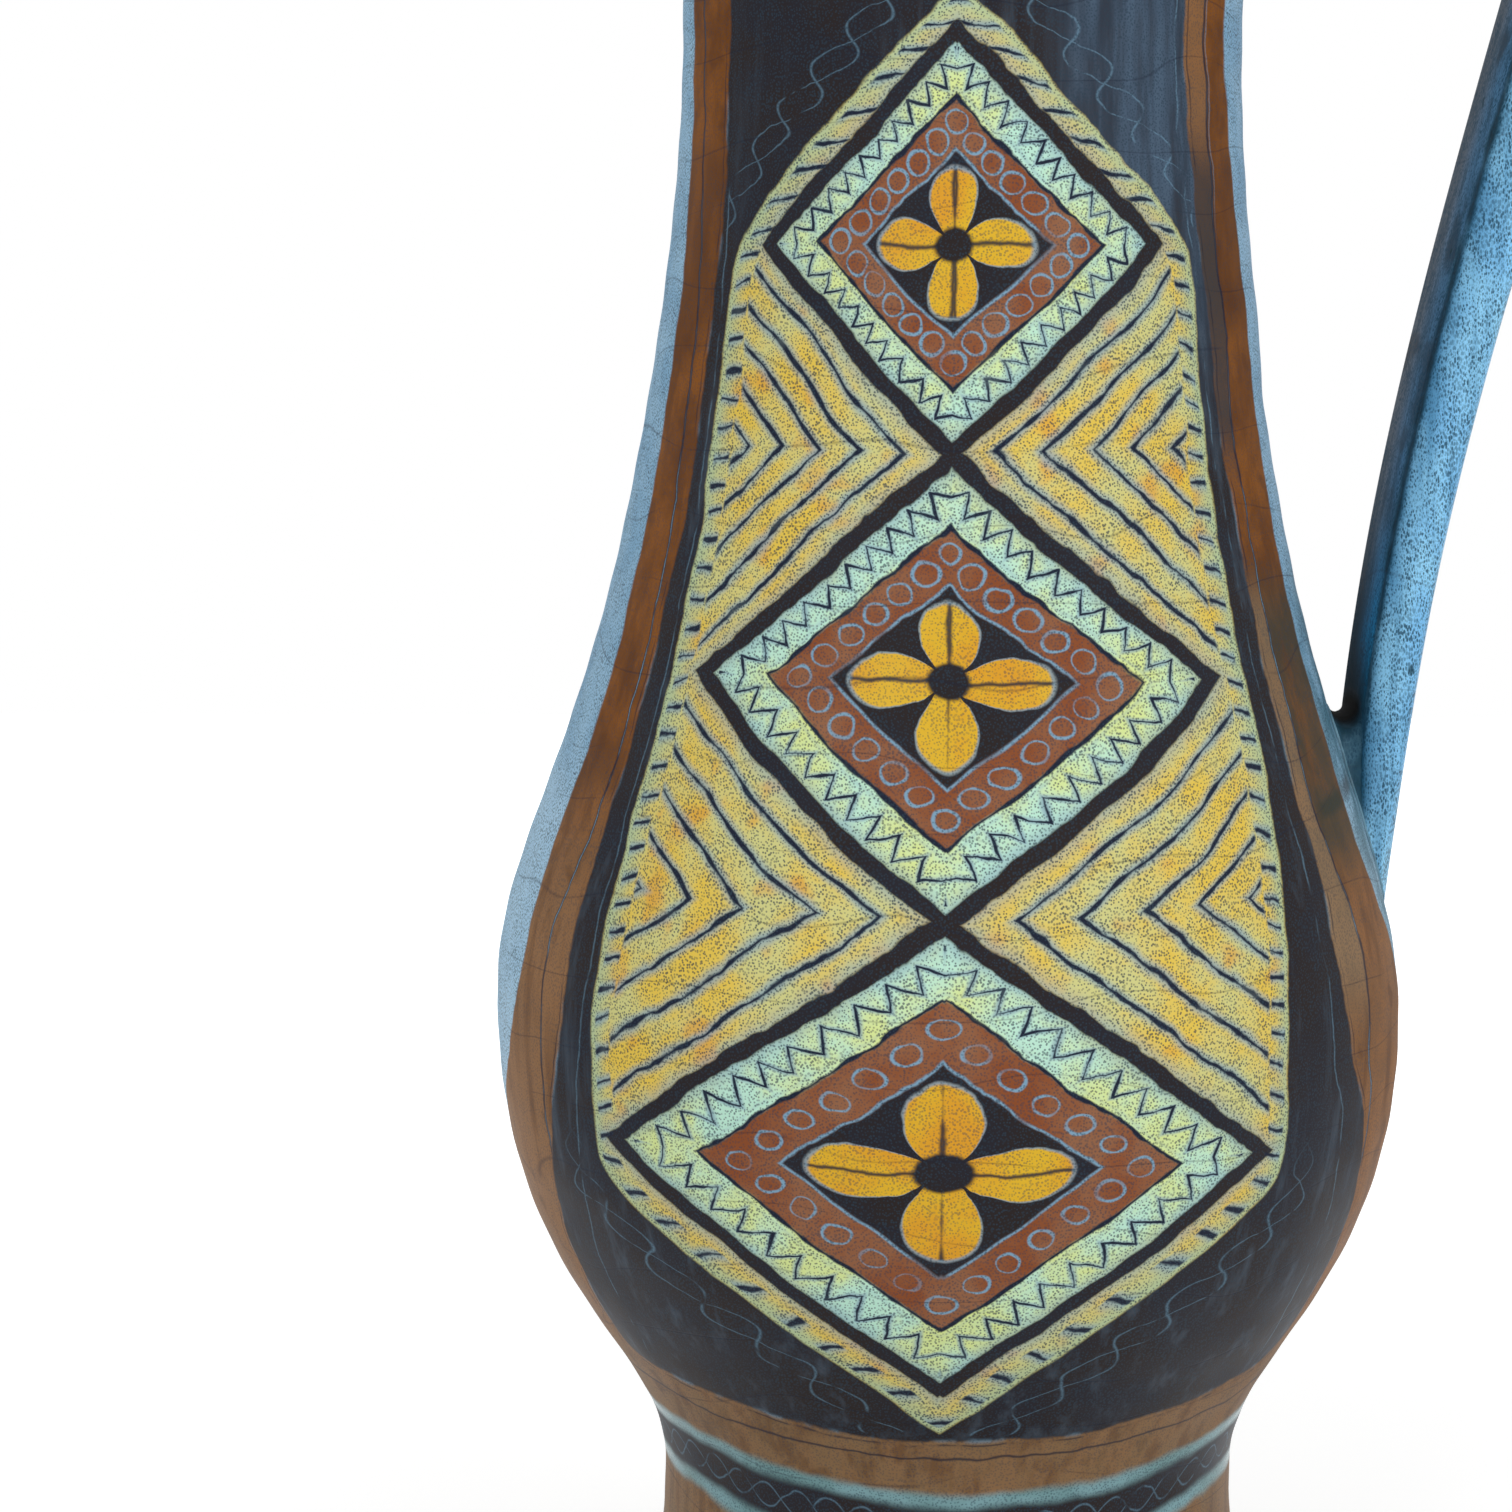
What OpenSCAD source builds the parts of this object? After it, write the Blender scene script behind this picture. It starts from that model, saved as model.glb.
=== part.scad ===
// Baluster jug, thrown in three sections and luted together, with a pulled strap handle.
// +Z is up, +X is the handle's side, -X is the pouring lip, -Y is the decorated front.
// The origin is on the jug's axis, in the plane that it stands on.

/* [Foot] */
// Radius of the foot at its toe
foot_r = 62.5; // [58:0.5:70]
// Height of the toe's upper edge
toe_h = 6; // [5:0.5:10]
// Inward lean of the foot's side just above the toe, in degrees
toe_lean = 34; // [20:1:42]
// How far the foot's side keeps that lean
toe_pull = 13; // [8:1:16]
// Rounding of the toe's lower edge
toe_round = 3; // [1:0.25:4]
// Width of the ring that the jug stands on
ring_w = 9; // [6:0.5:12]
// Depth of the turned recess inside the ring
recess_h = 3.5; // [2:0.5:5]
// Slope of the recess's side, in degrees from upright
recess_slope = 35; // [15:1:50]
// Thickness of the floor
floor_t = 8; // [6:0.5:10]
// Rounding where the floor turns up into the wall
floor_round = 10; // [5:1:14]

/* [Belly] */
// Radius of the waist above the foot
waist_r = 51.5; // [48:0.5:54]
// Height of the waist
waist_h = 46.5; // [42:0.5:54]
// How far the wall stays upright below the waist
waist_pull_low = 20; // [12:1:24]
// How far the wall stays upright above the waist
waist_pull_high = 25; // [15:1:30]
// Radius of the belly at its widest
belly_r = 81; // [72:0.5:90]
// Height of the belly's widest point
belly_h = 133.5; // [124:0.5:142]
// How far the wall stays upright below the belly's widest point
belly_pull_low = 53.5; // [36:0.5:56]
// How far the wall stays upright above the belly's widest point
belly_pull_high = 21.5; // [14:0.5:30]

/* [Neck] */
// Radius of the shoulder, where the neck is luted on
shoulder_r = 61; // [58:0.5:64]
// Height of the shoulder
shoulder_h = 206; // [200:1:214]
// Inward lean of the wall at the shoulder, in degrees
shoulder_lean = 14.2; // [8:0.2:20]
// How far the wall keeps that lean below the shoulder
shoulder_pull_low = 39.5; // [24:0.5:42]
// How far the wall keeps that lean above the shoulder
shoulder_pull_high = 7; // [4:0.5:20]
// Radius of the neck at its narrowest
neck_r = 48.5; // [45:0.5:53]
// Height of the neck's narrowest point
neck_h = 302; // [290:1:312]
// How far the wall stays upright below the narrowest point
neck_pull_low = 41; // [24:1:48]
// How far the wall stays upright above the narrowest point
neck_pull_high = 30; // [16:1:36]
// Radius of the mouth at the rim
rim_r = 58; // [54:0.5:64]
// Height where the rim's rounded edge starts
rim_h = 380; // [372:1:392]
// Outward lean of the mouth at the rim, in degrees
rim_lean = 20; // [8:1:28]
// How far the mouth keeps that lean below the rim
rim_pull = 24; // [14:1:30]

/* [Pouring lip] */
// Height of the rim above the place where the pouring lip starts to leave the round
lip_start_h = 54; // [35:1:68]
// How far the lip is pulled out past the round rim
lip_reach = 17; // [8:0.5:22]
// How far the lip is pulled up above the rim
lip_rise = 5; // [0:0.5:9]
// Half width of the lip, in degrees round the mouth
lip_spread = 25; // [18:1:34]
// How far the rim is pressed in beside the lip
nip_depth = 3.5; // [0:0.5:6]
// Place of that press from the lip's middle, in degrees
nip_angle = 54; // [46:1:64]
// Width of that press, in degrees
nip_spread = 20; // [14:1:26]

/* [Walls and joints] */
// Wall thickness at the foot
foot_wall = 8; // [6:0.25:9]
// Wall thickness at the belly
belly_wall = 6.5; // [5:0.25:8]
// Wall thickness at the neck
neck_wall = 5.5; // [4.5:0.25:7]
// Wall thickness at the rim
rim_wall = 4.5; // [3.5:0.25:6]
// Height of the lap that centres one section on the next
lap_h = 3; // [2:0.25:4]
// Thickness of the luting slip in each joint
slip_t = 0.4; // [0.3:0.05:0.8]

/* [Handle] */
// Height of the strap's lower end above the belly's widest point
strap_low_h = 8.5; // [2.5:0.5:12.5]
// How deep that end lies behind the belly's face
strap_low_sink = 6.8; // [6:0.1:8.5]
// Outward lean of the strap at its lower end, in degrees
strap_low_lean = 2.5; // [0:0.5:6]
// How far the strap keeps that lean
strap_low_pull = 58; // [45:1:70]
// Height of the rim above the bow, where the strap starts to turn over
bow_h = 70; // [62:1:80]
// Distance of the bow's middle line from the neck's narrowest wall
bow_gap = 55.6; // [46:0.1:62]
// Outward lean of the strap at the bow, in degrees
bow_lean = 15.5; // [8:0.5:19]
// How far the strap keeps that lean below the bow
bow_pull_low = 78; // [45:1:86]
// How far the strap keeps that lean above the bow
bow_pull_high = 52; // [40:1:56]
// Height of the rim above the strap's upper end
strap_top_h = 29; // [25:1:35]
// How deep that end lies behind the neck's face
strap_top_sink = 9; // [4:0.1:11]
// Downward dip of the strap towards the neck, in degrees
strap_top_dip = 20; // [8:1:26]
// How far the strap keeps that dip
strap_top_pull = 38; // [30:1:44]
// Strap thickness at its lower end
strap_t_low = 8.6; // [7:0.1:10]
// Strap thickness at its upper end
strap_t_top = 16.2; // [11:0.1:18]
// Strap width at its lower end
strap_w_low = 23; // [18:0.5:28]
// Strap width at its upper end
strap_w_top = 32; // [20:0.5:36]
// Widening of the strap where it is thumbed on to the wall
root_flare = 3; // [0:0.5:8]
// Length over which that widening fades, measured along the strap
root_fade = 24; // [16:1:40]
// Squareness of the strap's section, where 2 is an ellipse
strap_square = 4.5; // [2:0.25:6]

/* [Hidden] */
$fn = 96;

// Samples along one span of the wall outside, and inside the neck, and points along one rounded corner
span_steps = 12;
neck_inner_steps = 6;
corner_steps = 5;
// Sides of the neck, whose mouth isn't round
neck_sides = 72;
// Rings along each half of the strap, and points round its section
strap_steps = 22;
strap_points = 24;

// Clay under the glaze
blue_glaze = "#5f96b4";
brown_glaze = "#8a5128";
slip_clay = "#b9a48a";

// Stations of the wall: radius, height, inward lean, pull below and pull above
toe = [foot_r, toe_h, toe_lean, 0, toe_pull];
waist = [waist_r, waist_h, 0, waist_pull_low, waist_pull_high];
widest = [belly_r, belly_h, 0, belly_pull_low, belly_pull_high];
shoulder = [shoulder_r, shoulder_h, shoulder_lean, shoulder_pull_low, shoulder_pull_high];
narrowest = [neck_r, neck_h, 0, neck_pull_low, neck_pull_high];
rim = [rim_r, rim_h, -rim_lean, rim_pull, 0];

floor_top = recess_h + floor_t;
stand_r = foot_r - toe_round;
ring_in_r = stand_r - ring_w;
recess_r = ring_in_r - recess_h * tan(recess_slope);

function tail(v) = [for (i = [1:len(v) - 1]) v[i]];
function reversed(v) = [for (i = [len(v) - 1:-1:0]) v[i]];
function between(v, low, high) = [for (p = v) if (p.y > low && p.y < high) p];
function ease(t) = let (u = min(max(t, 0), 1)) u * u * (3 - 2 * u);

// A cubic curve through its four control points, and its direction
function curve(c, s) =
    c[0] * pow(1 - s, 3) + 3 * c[1] * s * pow(1 - s, 2) + 3 * c[2] * s * s * (1 - s) + c[3] * pow(s, 3);
function curve_dir(c, s) =
    (c[1] - c[0]) * pow(1 - s, 2) + 2 * (c[2] - c[1]) * s * (1 - s) + (c[3] - c[2]) * s * s;

// Control points between two stations of the wall
function upward(lean) = [-sin(lean), cos(lean)];
function controls(low, high) = [
    [low[0], low[1]],
    [low[0], low[1]] + upward(low[2]) * low[4],
    [high[0], high[1]] - upward(high[2]) * high[3],
    [high[0], high[1]]
];

// Samples of the wall's outside: radius, height and inward lean
function span(low, high, steps = span_steps) =
    let (c = controls(low, high))
    [for (i = [0:steps])
        let (p = curve(c, i / steps), t = curve_dir(c, i / steps))
        [p.x, p.y, atan2(-t.x, t.y)]];

foot_wall_samples = span(toe, waist);
belly_wall_samples = concat(span(waist, widest), tail(span(widest, shoulder)));
neck_wall_samples = concat(span(shoulder, narrowest), tail(span(narrowest, rim)));
neck_inner_samples =
    concat(span(shoulder, narrowest, neck_inner_steps), tail(span(narrowest, rim, neck_inner_steps)));
waist_seam = belly_wall_samples[0];
shoulder_seam = neck_wall_samples[0];
rim_edge = neck_wall_samples[len(neck_wall_samples) - 1];
outer_table = [for (p = concat(foot_wall_samples, belly_wall_samples, neck_wall_samples)) [p.y, p.x]];

wall_table = [[0, foot_wall], [belly_h, belly_wall], [neck_h, neck_wall], [rim_h, rim_wall]];
function wall_at(z) = lookup(z, wall_table);
function radius_at(z) = lookup(z, outer_table);
function outside(samples) = [for (p = samples) [p.x, p.y]];
function inner_r(p) = p.x - wall_at(p.y) / cos(p[2]);
function inside(samples) = [for (p = samples) [inner_r(p), p.y]];
function proud(samples, by) = [for (p = samples) [p.x + by / cos(p[2]), p.y]];
function corner(centre, r, from, to) =
    [for (i = [0:corner_steps])
        let (a = from + (to - from) * i / corner_steps)
        centre + r * [cos(a), sin(a)]];

// The lap in a seam: the lower section's rim from outside to inside,
// and the upper section's seat from inside to outside
function seat_r(p) = (p.x + inner_r(p)) / 2;
function lower_rim(p) = [
    [p.x, p.y],
    [seat_r(p), p.y],
    [seat_r(p), p.y + lap_h],
    [inner_r(p) - lap_h * tan(p[2]), p.y + lap_h]
];
function upper_seat(p) = [
    [inner_r(p) - (lap_h + slip_t) * tan(p[2]), p.y + lap_h + slip_t],
    [seat_r(p) + slip_t, p.y + lap_h + slip_t],
    [seat_r(p) + slip_t, p.y + slip_t],
    [p.x - slip_t * tan(p[2]), p.y + slip_t]
];

foot_floor_h = floor_top + floor_round;
foot_inside = reversed(between(inside(foot_wall_samples), foot_floor_h, waist_h));
foot_floor_r = lookup(foot_floor_h, [for (p = inside(foot_wall_samples)) [p.y, p.x]]);
foot_outline = concat(
    [[0, recess_h], [recess_r, recess_h], [ring_in_r, 0]],
    corner([stand_r, toe_round], toe_round, -90, 0),
    between(outside(foot_wall_samples), toe_round, waist_h),
    lower_rim(waist_seam),
    foot_inside,
    corner([foot_floor_r - floor_round, foot_floor_h], floor_round, 0, -90),
    [[0, floor_top]]
);

belly_outline = concat(
    upper_seat(waist_seam),
    between(outside(belly_wall_samples), waist_h + slip_t, shoulder_h),
    lower_rim(shoulder_seam),
    reversed(between(inside(belly_wall_samples), waist_h + lap_h + slip_t, shoulder_h))
);

// A hollow face of the neck is widened, so that its flat sides clear the circle that they stand for
function clear_of_circle(points) = [for (p = points) [p.x / cos(180 / neck_sides), p.y]];
neck_seat = upper_seat(shoulder_seam);
rim_half = (rim_edge.x - inner_r(rim_edge)) / 2;
neck_outline = concat(
    clear_of_circle([neck_seat[0], neck_seat[1], neck_seat[2]]),
    [neck_seat[3]],
    between(outside(neck_wall_samples), shoulder_h + slip_t, rim_h),
    corner([rim_edge.x - rim_half, rim_h], rim_half, 0, 180),
    clear_of_circle(reversed(between(inside(neck_inner_samples), shoulder_h + lap_h + slip_t, rim_h)))
);

// One point of the neck at an angle round the axis, pulled out into the lip and pressed in beside it
function pulled(p, angle) =
    let (
        off = abs(angle - 180),
        part = ease((p.y - rim_h + lip_start_h) / lip_start_h),
        lip = exp(-pow(off / lip_spread, 2)),
        nip = exp(-pow((off - nip_angle) / nip_spread, 2)),
        r = p.x + part * (lip_reach * lip - nip_depth * nip)
    )
    [r * cos(angle), r * sin(angle), p.y + part * lip_rise * lip];

// The strap's middle line in the plane of the handle: a rise from the belly and a turn into the neck
strap_low_z = belly_h + strap_low_h;
strap_top_z = rim_h - strap_top_h;
low_end = [radius_at(strap_low_z) - strap_low_sink, strap_low_z];
bow = [neck_r + bow_gap, rim_h - bow_h];
top_end = [radius_at(strap_top_z) - strap_top_sink, strap_top_z];
bow_dir = [sin(bow_lean), cos(bow_lean)];
top_dir = [-cos(strap_top_dip), -sin(strap_top_dip)];
rise_curve = [
    low_end,
    low_end + [sin(strap_low_lean), cos(strap_low_lean)] * strap_low_pull,
    bow - bow_dir * bow_pull_low,
    bow
];
turn_curve = [bow, bow + bow_dir * bow_pull_high, top_end - top_dir * strap_top_pull, top_end];
function run(c) =
    [for (i = [0:strap_steps])
        let (s = i / strap_steps)
        concat(curve(c, s), curve_dir(c, s))];
strap_line = concat(run(rise_curve), tail(run(turn_curve)));
function place(i) = [strap_line[i][0], strap_line[i][1]];
function walked(i) = i == 0 ? 0 : walked(i - 1) + norm(place(i) - place(i - 1));
strap_length = walked(len(strap_line) - 1);

// One ring of the strap: a squared oval that thickens upwards and widens at both roots
function strap_ring(i) =
    let (
        p = strap_line[i],
        way = [p[2], p[3]] / norm([p[2], p[3]]),
        along = walked(i),
        share = along / strap_length,
        root = exp(-pow(along / root_fade, 2)) + exp(-pow((strap_length - along) / root_fade, 2)),
        thick = strap_t_low + (strap_t_top - strap_t_low) * share,
        wide = strap_w_low + (strap_w_top - strap_w_low) * share + root_flare * root
    )
    [for (k = [0:strap_points - 1])
        let (
            a = -360 * k / strap_points,
            across = thick / 2 * sign(cos(a)) * pow(abs(cos(a)), 2 / strap_square),
            aside = wide / 2 * sign(sin(a)) * pow(abs(sin(a)), 2 / strap_square)
        )
        [p[0] + way.y * across, aside, p[1] - way.x * across]];

// A closed skin over rings of points, each ring joined to the next, the last one to the first if looped
module ring_skin(rings, looped) {
    n = len(rings);
    m = len(rings[0]);
    last = looped ? n - 1 : n - 2;
    sides = [
        for (i = [0:last])
            for (j = [0:m - 1])
                let (
                    a = i * m + j,
                    b = i * m + (j + 1) % m,
                    c = ((i + 1) % n) * m + (j + 1) % m,
                    d = ((i + 1) % n) * m + j
                )
                each [[a, b, c], [a, c, d]]
    ];
    caps = looped ? [] : [
        [for (j = [m - 1:-1:0]) j],
        [for (j = [0:m - 1]) (n - 1) * m + j]
    ];
    polyhedron([for (ring = rings) each ring], concat(sides, caps));
}

// The whole strap, with its ends run on into the walls
module strap() {
    ring_skin([for (i = [0:len(strap_line) - 1]) strap_ring(i)], false);
}

// A solid of the outside of some stretch of the wall, standing proud of it
module filled(samples, by) {
    edge = proud(samples, by);
    top = edge[len(edge) - 1];
    rotate_extrude()
        polygon(concat([[0, edge[0].y]], edge, [[0, top.y]]));
}

// The slip between the strap and the wall that it is pressed on to
module strap_slip(samples) {
    intersection() {
        strap();
        difference() {
            filled(samples, slip_t);
            filled(samples, 0);
        }
    }
}

module foot() {
    color(brown_glaze)
        rotate_extrude()
            polygon(foot_outline);
}

module belly() {
    color(blue_glaze)
        rotate_extrude()
            polygon(belly_outline);
}

module neck() {
    color(blue_glaze)
        ring_skin(
            [for (i = [0:neck_sides - 1]) [for (p = neck_outline) pulled(p, 360 * i / neck_sides)]],
            true
        );
}

module handle() {
    color(blue_glaze)
        difference() {
            strap();
            filled(belly_wall_samples, slip_t);
            filled(neck_wall_samples, slip_t);
        }
}

module foot_slip() {
    color(slip_clay)
        rotate_extrude()
            polygon(concat(lower_rim(waist_seam), upper_seat(waist_seam)));
}

module neck_slip() {
    color(slip_clay)
        rotate_extrude()
            polygon(concat(lower_rim(shoulder_seam), upper_seat(shoulder_seam)));
}

module handle_low_slip() {
    color(slip_clay)
        strap_slip(belly_wall_samples);
}

module handle_top_slip() {
    color(slip_clay)
        strap_slip(neck_wall_samples);
}

foot();
belly();
neck();
handle();
foot_slip();
neck_slip();
handle_low_slip();
handle_top_slip();
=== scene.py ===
"""A glazed baluster jug in a white studio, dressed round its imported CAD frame.

Sizes are in millimetres and degrees until a mesh or a lamp is made, which is in metres. +Z is up,
+X is the handle's side, -X the pouring lip and -Y the decorated front. Paint is laid out by the
angle round the axis and the height, so it runs on from one thrown section to the next.
"""

from __future__ import annotations

import logging
import math
from dataclasses import dataclass, field
from enum import Enum
from functools import reduce
from typing import Callable, Sequence, Union

import bpy
import numpy as np
from bpy.types import ID, Material, Mesh, Node, NodeSocket, NodeTree, Object, World
from mathutils import Matrix, Vector


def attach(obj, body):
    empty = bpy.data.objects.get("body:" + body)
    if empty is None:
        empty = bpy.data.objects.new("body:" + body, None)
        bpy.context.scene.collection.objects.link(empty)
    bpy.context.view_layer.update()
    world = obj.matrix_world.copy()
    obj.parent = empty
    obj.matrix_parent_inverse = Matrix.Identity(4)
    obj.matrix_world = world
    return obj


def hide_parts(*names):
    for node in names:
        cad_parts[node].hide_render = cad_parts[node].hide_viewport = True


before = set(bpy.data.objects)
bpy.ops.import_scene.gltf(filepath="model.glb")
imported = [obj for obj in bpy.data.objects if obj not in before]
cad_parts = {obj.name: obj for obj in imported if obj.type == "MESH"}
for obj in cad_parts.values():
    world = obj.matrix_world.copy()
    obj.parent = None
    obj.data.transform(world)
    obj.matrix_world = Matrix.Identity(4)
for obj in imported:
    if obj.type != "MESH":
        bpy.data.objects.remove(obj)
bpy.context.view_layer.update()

LOG = logging.getLogger("baluster_jug")
METRE = 0.001
BODY = "root"
CHART = "OFBake"
CHART_EDGE = 0.003
CHART_SIDE = 1 - 2 * CHART_EDGE
STRAP_ANGLE = 90.0

Array = np.ndarray
Colour = tuple[float, float, float, float]
Span = tuple[float, float]
Window = tuple[float, float, float, float]
Input = Union["Field", NodeSocket, float, Colour, tuple[float, float, float]]
Feeds = dict[Union[int, str], Input]

WHITE: Colour = (1.0, 1.0, 1.0, 1.0)


class Zone(Enum):
    """Where on a piece a face lies, which is also the place of its material on the piece."""

    SKIN = 0
    INSIDE = 1
    CLAY = 2


class Seam(Enum):
    """A seam between two thrown sections, by the name of the slip in it."""

    WAIST = "foot_slip"
    SHOULDER = "neck_slip"


class Note(Enum):
    """What the strap's mesh notes at each of its points, for the glaze to read."""

    ARRIS = "arris"
    INNER_FACE = "inner_face"
    # How much painted shade a point gets in and above the crotch.
    CROTCH = "crotch"
    # The web's dark teal under the crotch: partly wiped slip, partly painted shade.
    WEB = "web"


def tint(code: str) -> Colour:
    """Turns a screen colour, as six hexadecimal digits, into the linear one that a shader takes."""
    parts = [int(code[i : i + 2], 16) / 255 for i in (0, 2, 4)]
    return (*(c / 12.92 if c <= 0.04045 else ((c + 0.055) / 1.055) ** 2.4 for c in parts), 1.0)


def ease(t: Array) -> Array:
    """A smooth step from 0 to 1 while t goes from 0 to 1."""
    u = np.clip(t, 0.0, 1.0)
    return u * u * (3 - 2 * u)


# Shader nodes


def sum_of(operation: str) -> Callable[[Field, Input], Field]:
    """Makes one of a field's methods, which joins the field and another value in one Math node.

    Args:
        operation: The Math node's operation.

    Returns:
        The method.
    """

    def method(self: Field, other: Input) -> Field:
        """Joins the field and the other value."""
        return self.sketch.math(operation, self, other)

    return method


@dataclass(frozen=True)
class Field:
    """A value that changes over the surface, held as an output socket of a node tree.

    Of its methods, low and high give the lower and the higher of two values, and above gives 1
    where the field is above a level and 0 elsewhere.
    """

    sketch: Sketch
    socket: NodeSocket

    __add__ = sum_of("ADD")
    __sub__ = sum_of("SUBTRACT")
    __mul__ = sum_of("MULTIPLY")
    __truediv__ = sum_of("DIVIDE")
    low = sum_of("MINIMUM")
    high = sum_of("MAXIMUM")
    above = sum_of("GREATER_THAN")
    power = sum_of("POWER")

    def __rsub__(self, other: float) -> Field:
        """A number less this field."""
        return self.sketch.math("SUBTRACT", other, self)

    def __abs__(self) -> Field:
        """The field without its sign."""
        return self.sketch.math("ABSOLUTE", self)

    def soft_high(self, other: Input, blend: float) -> Field:
        """The higher of two fields, rounded where they cross."""
        return self.sketch.math("SMOOTH_MAX", self, other, blend)

    def soft_low(self, other: Input, blend: float) -> Field:
        """The lower of two fields, rounded where they cross."""
        return self.sketch.math("SMOOTH_MIN", self, other, blend)

    def wave(self, period: float) -> Field:
        """A sine of the field with that period."""
        return self.sketch.math("SINE", self * (2 * math.pi / period))

    def saw(self, period: float) -> Field:
        """How far the field is from the nearest whole period, with a sign."""
        return (self.sketch.math("FRACT", self / period + 0.5) - 0.5) * period

    def ramp(self, start: Input, end: Input, first: float = 0.0, last: float = 1.0) -> Field:
        """Eases from a first value where the field is at start to a last one where it is at end."""
        feeds = dict(enumerate((self, start, end, first, last)))
        return self.sketch.value("MapRange", feeds, interpolation_type="SMOOTHSTEP")

    def within(self, start: float, full: float, fade: float, end: float) -> Field:
        """A mask that eases in between start and full, and out again between fade and end."""
        return self.ramp(start, full) * self.ramp(end, fade)

    def inside(self, soft: float = 0.35) -> Field:
        """A mask of where a distance is below nothing, with an edge as soft as that."""
        return self.ramp(soft, -soft)

    def line(self, half: Input, soft: float = 0.22) -> Field:
        """A mask of a line where a distance is nothing, as wide as twice half."""
        return abs(self).ramp(half + soft, half - soft)

    def close(self, reach: float) -> Field:
        """A mask that fades from 1 where a distance is nothing to 0 at a reach."""
        return abs(self).ramp(reach, 0.1)


class Sketch:
    """Draws fields and colours as nodes of one shader node tree."""

    ROWS = 10
    STEP = (230, -190)

    def __init__(self, tree: NodeTree, owner: Material | World | None = None) -> None:
        """Starts a drawing in an empty tree, and keeps the material or the world that it is for."""
        self.tree, self.owner = tree, owner
        self.count = 0

    @classmethod
    def group(cls, name: str, inputs: dict[str, str], outputs: dict[str, str]) -> Sketch:
        """Starts a node group.

        Args:
            name: The group's name.
            inputs: Socket kinds by input name.
            outputs: Socket kinds by output name.

        Returns:
            A drawing in the new group, with its two ends in place.
        """
        tree = bpy.data.node_groups.new(name, "ShaderNodeTree")
        for way, sockets in (("INPUT", inputs), ("OUTPUT", outputs)):
            for socket, kind in sockets.items():
                tree.interface.new_socket(name=socket, in_out=way, socket_type=kind)
        made = cls(tree)
        made.entry, made.exit = (tree.nodes.new(f"NodeGroup{end}") for end in ("Input", "Output"))
        made.entry.location.x = -cls.STEP[0]
        return made

    @classmethod
    def blank(cls, owner: Material | World) -> Sketch:
        """Empties the node tree of a material or a world.

        Args:
            owner: The material or the world.

        Returns:
            A drawing in its tree.
        """
        owner.use_nodes = True
        owner.node_tree.nodes.clear()
        return cls(owner.node_tree, owner)

    def node(self, kind: str, feeds: Feeds | None = None, **settings: object) -> Node:
        """Adds a node.

        Args:
            kind: The node's type, without the ShaderNode that it starts with.
            feeds: What its inputs get, by their place or name.
            settings: Its properties by name.

        Returns:
            The new node.
        """
        made = self.tree.nodes.new("ShaderNode" + kind)
        column, row = divmod(self.count, self.ROWS)
        made.location = (self.STEP[0] * column, self.STEP[1] * row)
        self.count += 1
        for name, value in settings.items():
            setattr(made, name, value)
        for place, value in (feeds or {}).items():
            self.feed(made.inputs[place], value)
        return made

    def value(self, kind: str, feeds: Feeds, out: int | str = 0, **settings: object) -> Field:
        """Adds a node, and takes one of its outputs, by its place or name, as a field."""
        return Field(self, self.node(kind, feeds, **settings).outputs[out])

    def feed(self, socket: NodeSocket, value: Input) -> None:
        """Links a field or an output to a socket, or sets a plain value on it.

        Args:
            socket: The socket to feed.
            value: What it gets.
        """
        if isinstance(value, Field):
            self.tree.links.new(value.socket, socket)
        elif isinstance(value, NodeSocket):
            self.tree.links.new(value, socket)
        else:
            socket.default_value = value

    def given(self, name: str) -> Field:
        """One of the group's own inputs as a field."""
        return Field(self, self.entry.outputs[name])

    def give(self, **values: Input) -> None:
        """Feeds the group's outputs, whose node goes past the last column.

        Args:
            values: What they get, by name.
        """
        self.exit.location.x = self.STEP[0] * (self.count // self.ROWS + 1)
        for name, value in values.items():
            self.feed(self.exit.inputs[name], value)

    def math(self, operation: str, *values: Input) -> Field:
        """Adds one sum, by the Math node's operation and the values that it works on."""
        return self.value("Math", dict(enumerate(values)), operation=operation)

    def hypot(self, first: Field, second: Field) -> Field:
        """The length of a line from its two sides, which stand square to each other."""
        return self.math("SQRT", first * first + second * second)

    def split(self, vector: Input) -> list[Field]:
        """The x, y and z of a vector."""
        return [Field(self, out) for out in self.node("SeparateXYZ", {0: vector}).outputs]

    def place(self) -> tuple[NodeSocket, Field, Field, Field]:
        """Finds the surface point, in millimetres.

        Returns:
            The point as a vector, and its x, y and z.
        """
        feeds = {0: self.node("TexCoord").outputs["Object"], "Scale": 1 / METRE}
        point = self.node("VectorMath", feeds, operation="SCALE").outputs[0]
        return (point, *self.split(point))

    def flat(self, across: Input, up: Input) -> NodeSocket:
        """A point with two sides, for marks that lie flat on a surface."""
        return self.node("CombineXYZ", {0: across, 1: up}).outputs[0]

    def noise(
        self, point: Input, size: float, detail: float = 2.0, rough: float = 0.5, up: float = 1.0
    ) -> Field:
        """Cloudy noise about 0.5.

        Args:
            point: The place in millimetres.
            size: The size of its clouds in millimetres.
            detail: How many finer layers it has.
            rough: How strong the finer layers are.
            up: What heights are multiplied by first: below 1, the clouds are drawn out upwards.

        Returns:
            The noise as a field.
        """
        if up != 1.0:
            feeds = {0: point, 1: (1.0, 1.0, up)}
            point = self.node("VectorMath", feeds, operation="MULTIPLY").outputs[0]
        feeds = {"Vector": point, "Scale": 1 / size, "Detail": detail, "Roughness": rough}
        return self.value("TexNoise", feeds, "Fac")

    def noted(self, note: Note) -> Field:
        """What the mesh notes at a place."""
        return self.value("Attribute", {}, "Fac", attribute_name=note.value)

    def blend(self, share: Input, first: Input, second: Input) -> NodeSocket:
        """Mixes two colours by a mask, which is 0 for the first and 1 for the second."""
        return self.node("Mix", {0: share, 6: first, 7: second}, data_type="RGBA").outputs[2]

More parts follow.
